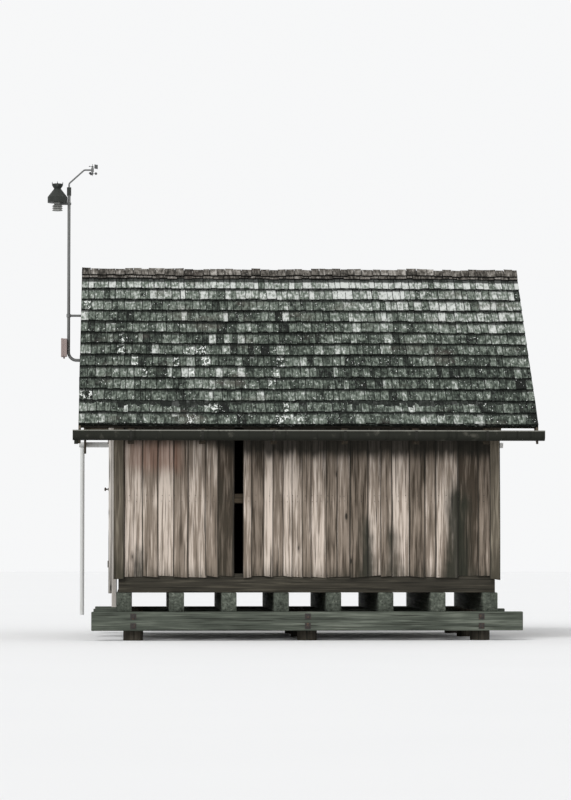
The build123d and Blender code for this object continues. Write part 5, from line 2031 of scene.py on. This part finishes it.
@dataclass
class DoorKnob:
    """Turned knob with a flared foot and a domed head.

    Attributes:
        outline: Its outline from the leaf outwards.
    """

    outline: Outline = (
        (0.0, 0.0),
        (0.0160, 0.0),
        (0.0160, 0.0025),
        (0.0135, 0.0048),
        (0.0090, 0.0060),
        (0.0072, 0.0100),
        (0.0070, 0.0200),
        (0.0085, 0.0248),
        (0.0140, 0.0275),
        (0.0188, 0.0315),
        (0.0200, 0.0360),
        (0.0184, 0.0410),
        (0.0125, 0.0447),
        (0.0055, 0.0459),
        (0.0, 0.0460),
    )

    def build(self) -> None:
        """Model the knob on the outside of the leaf."""
        low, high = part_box("door_handle")
        foot = Matrix.Translation((high.x, (low.y + high.y) / 2, (low.z + high.z) / 2))
        stack = Stack("turned_knob")
        knob = turned("knob", self.outline, 28)
        stack.place(knob, foot @ Matrix.Rotation(-math.pi / 2, 4, "Y"))
        discard(knob)
        hand_over(stack.joined(), Finishes.iron.material(), DOOR, ("door_handle",))


@dataclass
class SleeveWrap:
    """Black tape wound round the sleeve at the top of the mast.

    Attributes:
        start: From the foot of the sleeve up to the tape.
        height: Height of the wound part.
        thickness: Thickness of the tape where it overlaps.
        turns: Number of turns that show.
    """

    start: float = 0.004
    height: float = 0.088
    thickness: float = 0.0008
    turns: int = 4

    def build(self) -> None:
        """Wind the tape."""
        low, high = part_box("wind_arm")
        sleeve = high.y
        step = self.height / self.turns
        outline = [(sleeve, self.start)]
        for number in range(self.turns):
            foot = self.start + number * step
            outline += [(sleeve + self.thickness / 2, foot), (sleeve + self.thickness, foot + 0.8 * step)]
        outline += [(sleeve + self.thickness / 2, self.start + self.height), (sleeve, self.start + self.height)]
        outline.append(outline[0])
        stack = Stack("sleeve_tape")
        tape = turned("tape", outline, 32)
        stack.place(tape, Matrix.Translation((low.x + sleeve, 0.0, low.z)))
        discard(tape)
        hand_over(stack.joined(), Finishes.black.material())


class CarriedOver:
    """Frame nodes that keep their own shape and get a better finish."""

    finishes = {
        "piles": Finishes.piles.material,
        "door_hinges": Finishes.iron.material,
        "door_pintles": Finishes.iron.material,
        "front_gutter": Finishes.gutter_dark.material,
        "back_gutter": Finishes.gutter_pale.material,
        "gutter_straps": Finishes.strap.material,
        "downpipe": Finishes.gutter_pale.material,
        "mast": Finishes.mast.material,
        "mast_upper_arm": Finishes.mast.material,
        "junction_box": Finishes.box.material,
        "rain_collector": Finishes.black.material,
        "sensor_bracket": Finishes.grey.material,
        "wind_arm": Finishes.mast.material,
        "wind_vane": Finishes.grey.material,
    }

    def dress(self, frame: dict) -> None:
        """Give the nodes their finishes.

        Args:
            frame: The loaded frame.
        """
        for name, make in self.finishes.items():
            node = frame["nodes"][name]
            material = make(Grain.UPRIGHT) if name == "piles" else make()
            if not node.material_slots:
                node.data.materials.append(material)
            for slot in node.material_slots:
                slot.material = material
            LOG.info("%s keeps its shape", name)


@dataclass(frozen=True)
class Studio:
    """Pale floor and background, soft light and the camera.

    Attributes:
        eye: Where the photograph was taken from.
        lens: Focal length that frames it as the photograph does, on a 36 mm long side.
        closer: How much closer the view is framed.
        sky: Light from all round.
        sun: Strength of the soft main light.
        fill: Strength of the second light.
        backdrop: Colour of the background.
    """

    eye: Point = (-1.81, -34.08, 0.986)
    lens: float = 58.05
    closer: float = 2.39
    sky: float = 0.62
    sun: float = 2.0
    fill: float = 0.5
    backdrop: Colour = (0.93, 0.935, 0.94, 1.0)

    def build(self) -> None:
        """Set the stage."""
        self._background()
        self._floor()
        self._lamp("main_light", self.sun, 34.0, (50.0, 0.0, -28.0))
        self._lamp("fill_light", self.fill, 80.0, (62.0, 0.0, 48.0))
        self._camera()
        bpy.context.scene.view_settings.view_transform = "Standard"

    def _background(self) -> None:
        """White for the camera and in reflections, softer light for the surfaces."""
        world = bpy.data.worlds.new("studio")
        bpy.context.scene.world = world
        graph = Graph(world)
        rays = graph.node("ShaderNodeLightPath").outputs
        seen = Signal(graph, rays["Is Camera Ray"]) | Signal(graph, rays["Is Glossy Ray"])
        seen = seen | Signal(graph, rays["Is Transmission Ray"])
        light = graph.node("ShaderNodeBackground", None, {"Strength": self.sky, "Color": (1.0, 1.0, 1.0, 1.0)})
        white = graph.node("ShaderNodeBackground", None, {"Strength": 1.0, "Color": self.backdrop})
        choice = graph.node("ShaderNodeMixShader", None, {0: seen, 1: light.outputs[0], 2: white.outputs[0]})
        graph.node("ShaderNodeOutputWorld", None, {"Surface": choice.outputs[0]})

    def _floor(self) -> None:
        """Wide pale floor at the water line."""
        bpy.ops.mesh.primitive_circle_add(vertices=96, radius=90.0, fill_type="NGON", location=(0.0, 0.0, 0.0))
        floor = bpy.context.active_object
        floor.name = "studio_floor"
        graph = Graph.of_material("studio_floor")
        mottle = graph.noise(graph.coordinates(), 0.4, 2.0)
        colour = graph.mix(mottle, (0.80, 0.805, 0.81, 1.0), (0.82, 0.825, 0.83, 1.0))
        floor.data.materials.append(graph.finish(colour, 0.9, mottle, 0.0001, specular=0.1))
        floor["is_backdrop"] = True

    @staticmethod
    def _lamp(name: str, strength: float, softness: float, turn: Point) -> None:
        """Distant light with a soft edge; softness and turn are in degrees."""
        lamp = bpy.data.lights.new(name, "SUN")
        lamp.energy = strength
        lamp.angle = math.radians(softness)
        holder = bpy.data.objects.new(name, lamp)
        holder.rotation_euler = Euler([math.radians(angle) for angle in turn])
        bpy.context.scene.collection.objects.link(holder)

    def _camera(self) -> None:
        """Camera at the photograph's place, turned to the middle of the hut and framed closer."""
        camera = bpy.data.cameras.new("camera")
        camera.sensor_fit = "AUTO"
        camera.sensor_width = 36.0
        camera.lens = self.lens * self.closer
        camera.clip_end = 400.0
        holder = bpy.data.objects.new("camera", camera)
        low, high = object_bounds()
        holder.location = self.eye
        holder.rotation_euler = ((low + high) / 2 - Vector(self.eye)).to_track_quat("-Z", "Y").to_euler()
        bpy.context.scene.collection.objects.link(holder)
        bpy.context.scene.camera = holder


def main() -> None:
    """Build the hut round the frame."""
    logging.basicConfig(level=logging.INFO, format="%(message)s", stream=sys.stdout)
    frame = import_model()
    roof = RoofShape.measured()
    template = BoardTemplate()
    shingles = ShingleTemplates().build()
    front = ShingleSlope(
        roof,
        shingles,
        back=False,
        seed=11,
        spots=FRONT_LICHEN,
        silver=(
            Patch((1.35, 1.95), (1.0, 0.42), 0.8),
            Patch((-0.4, 2.2), (1.2, 0.18), 0.8),
            Patch((1.3, 0.6), (1.1, 0.5), -0.4),
        ),
    )
    back = ShingleSlope(
        roof,
        shingles,
        back=True,
        seed=12,
        spots=BACK_LICHEN,
        silver=(Patch((-0.8, 2.0), (1.2, 0.4), 0.8),),
    )
    for slope, node, grain in (
        (front, "front_shingles", Grain.UP_FRONT_SLOPE),
        (back, "back_shingles", Grain.UP_BACK_SLOPE),
    ):
        hand_over(slope.build(), Finishes.shingles.material(grain), HUT, (node,))
    cap = RidgeCap(roof, shingles).build()
    hand_over(cap, Finishes.cap.material(Grain.UP_FRONT_SLOPE), HUT, ("ridge_cap",))
    discard(*shingles)
    boarding = Boarding(roof, template)
    boarding.build()
    CornerBoards(template).build()
    Planks(template, roof).build()
    SawnTimbers().build(frame)
    DoorLeaf(template).build()
    Fastenings().build(boarding)
    GutterBeads().build()
    WeatherInstruments().build()
    CupRotor().build(next(joint for joint in frame["joints"] if joint["name"] == "cup_spin"))
    RadiationShield().build()
    SleeveWrap().build()
    DoorKnob().build()
    CarriedOver().dress(frame)
    Studio().build()


if __name__ == "__main__":
    main()
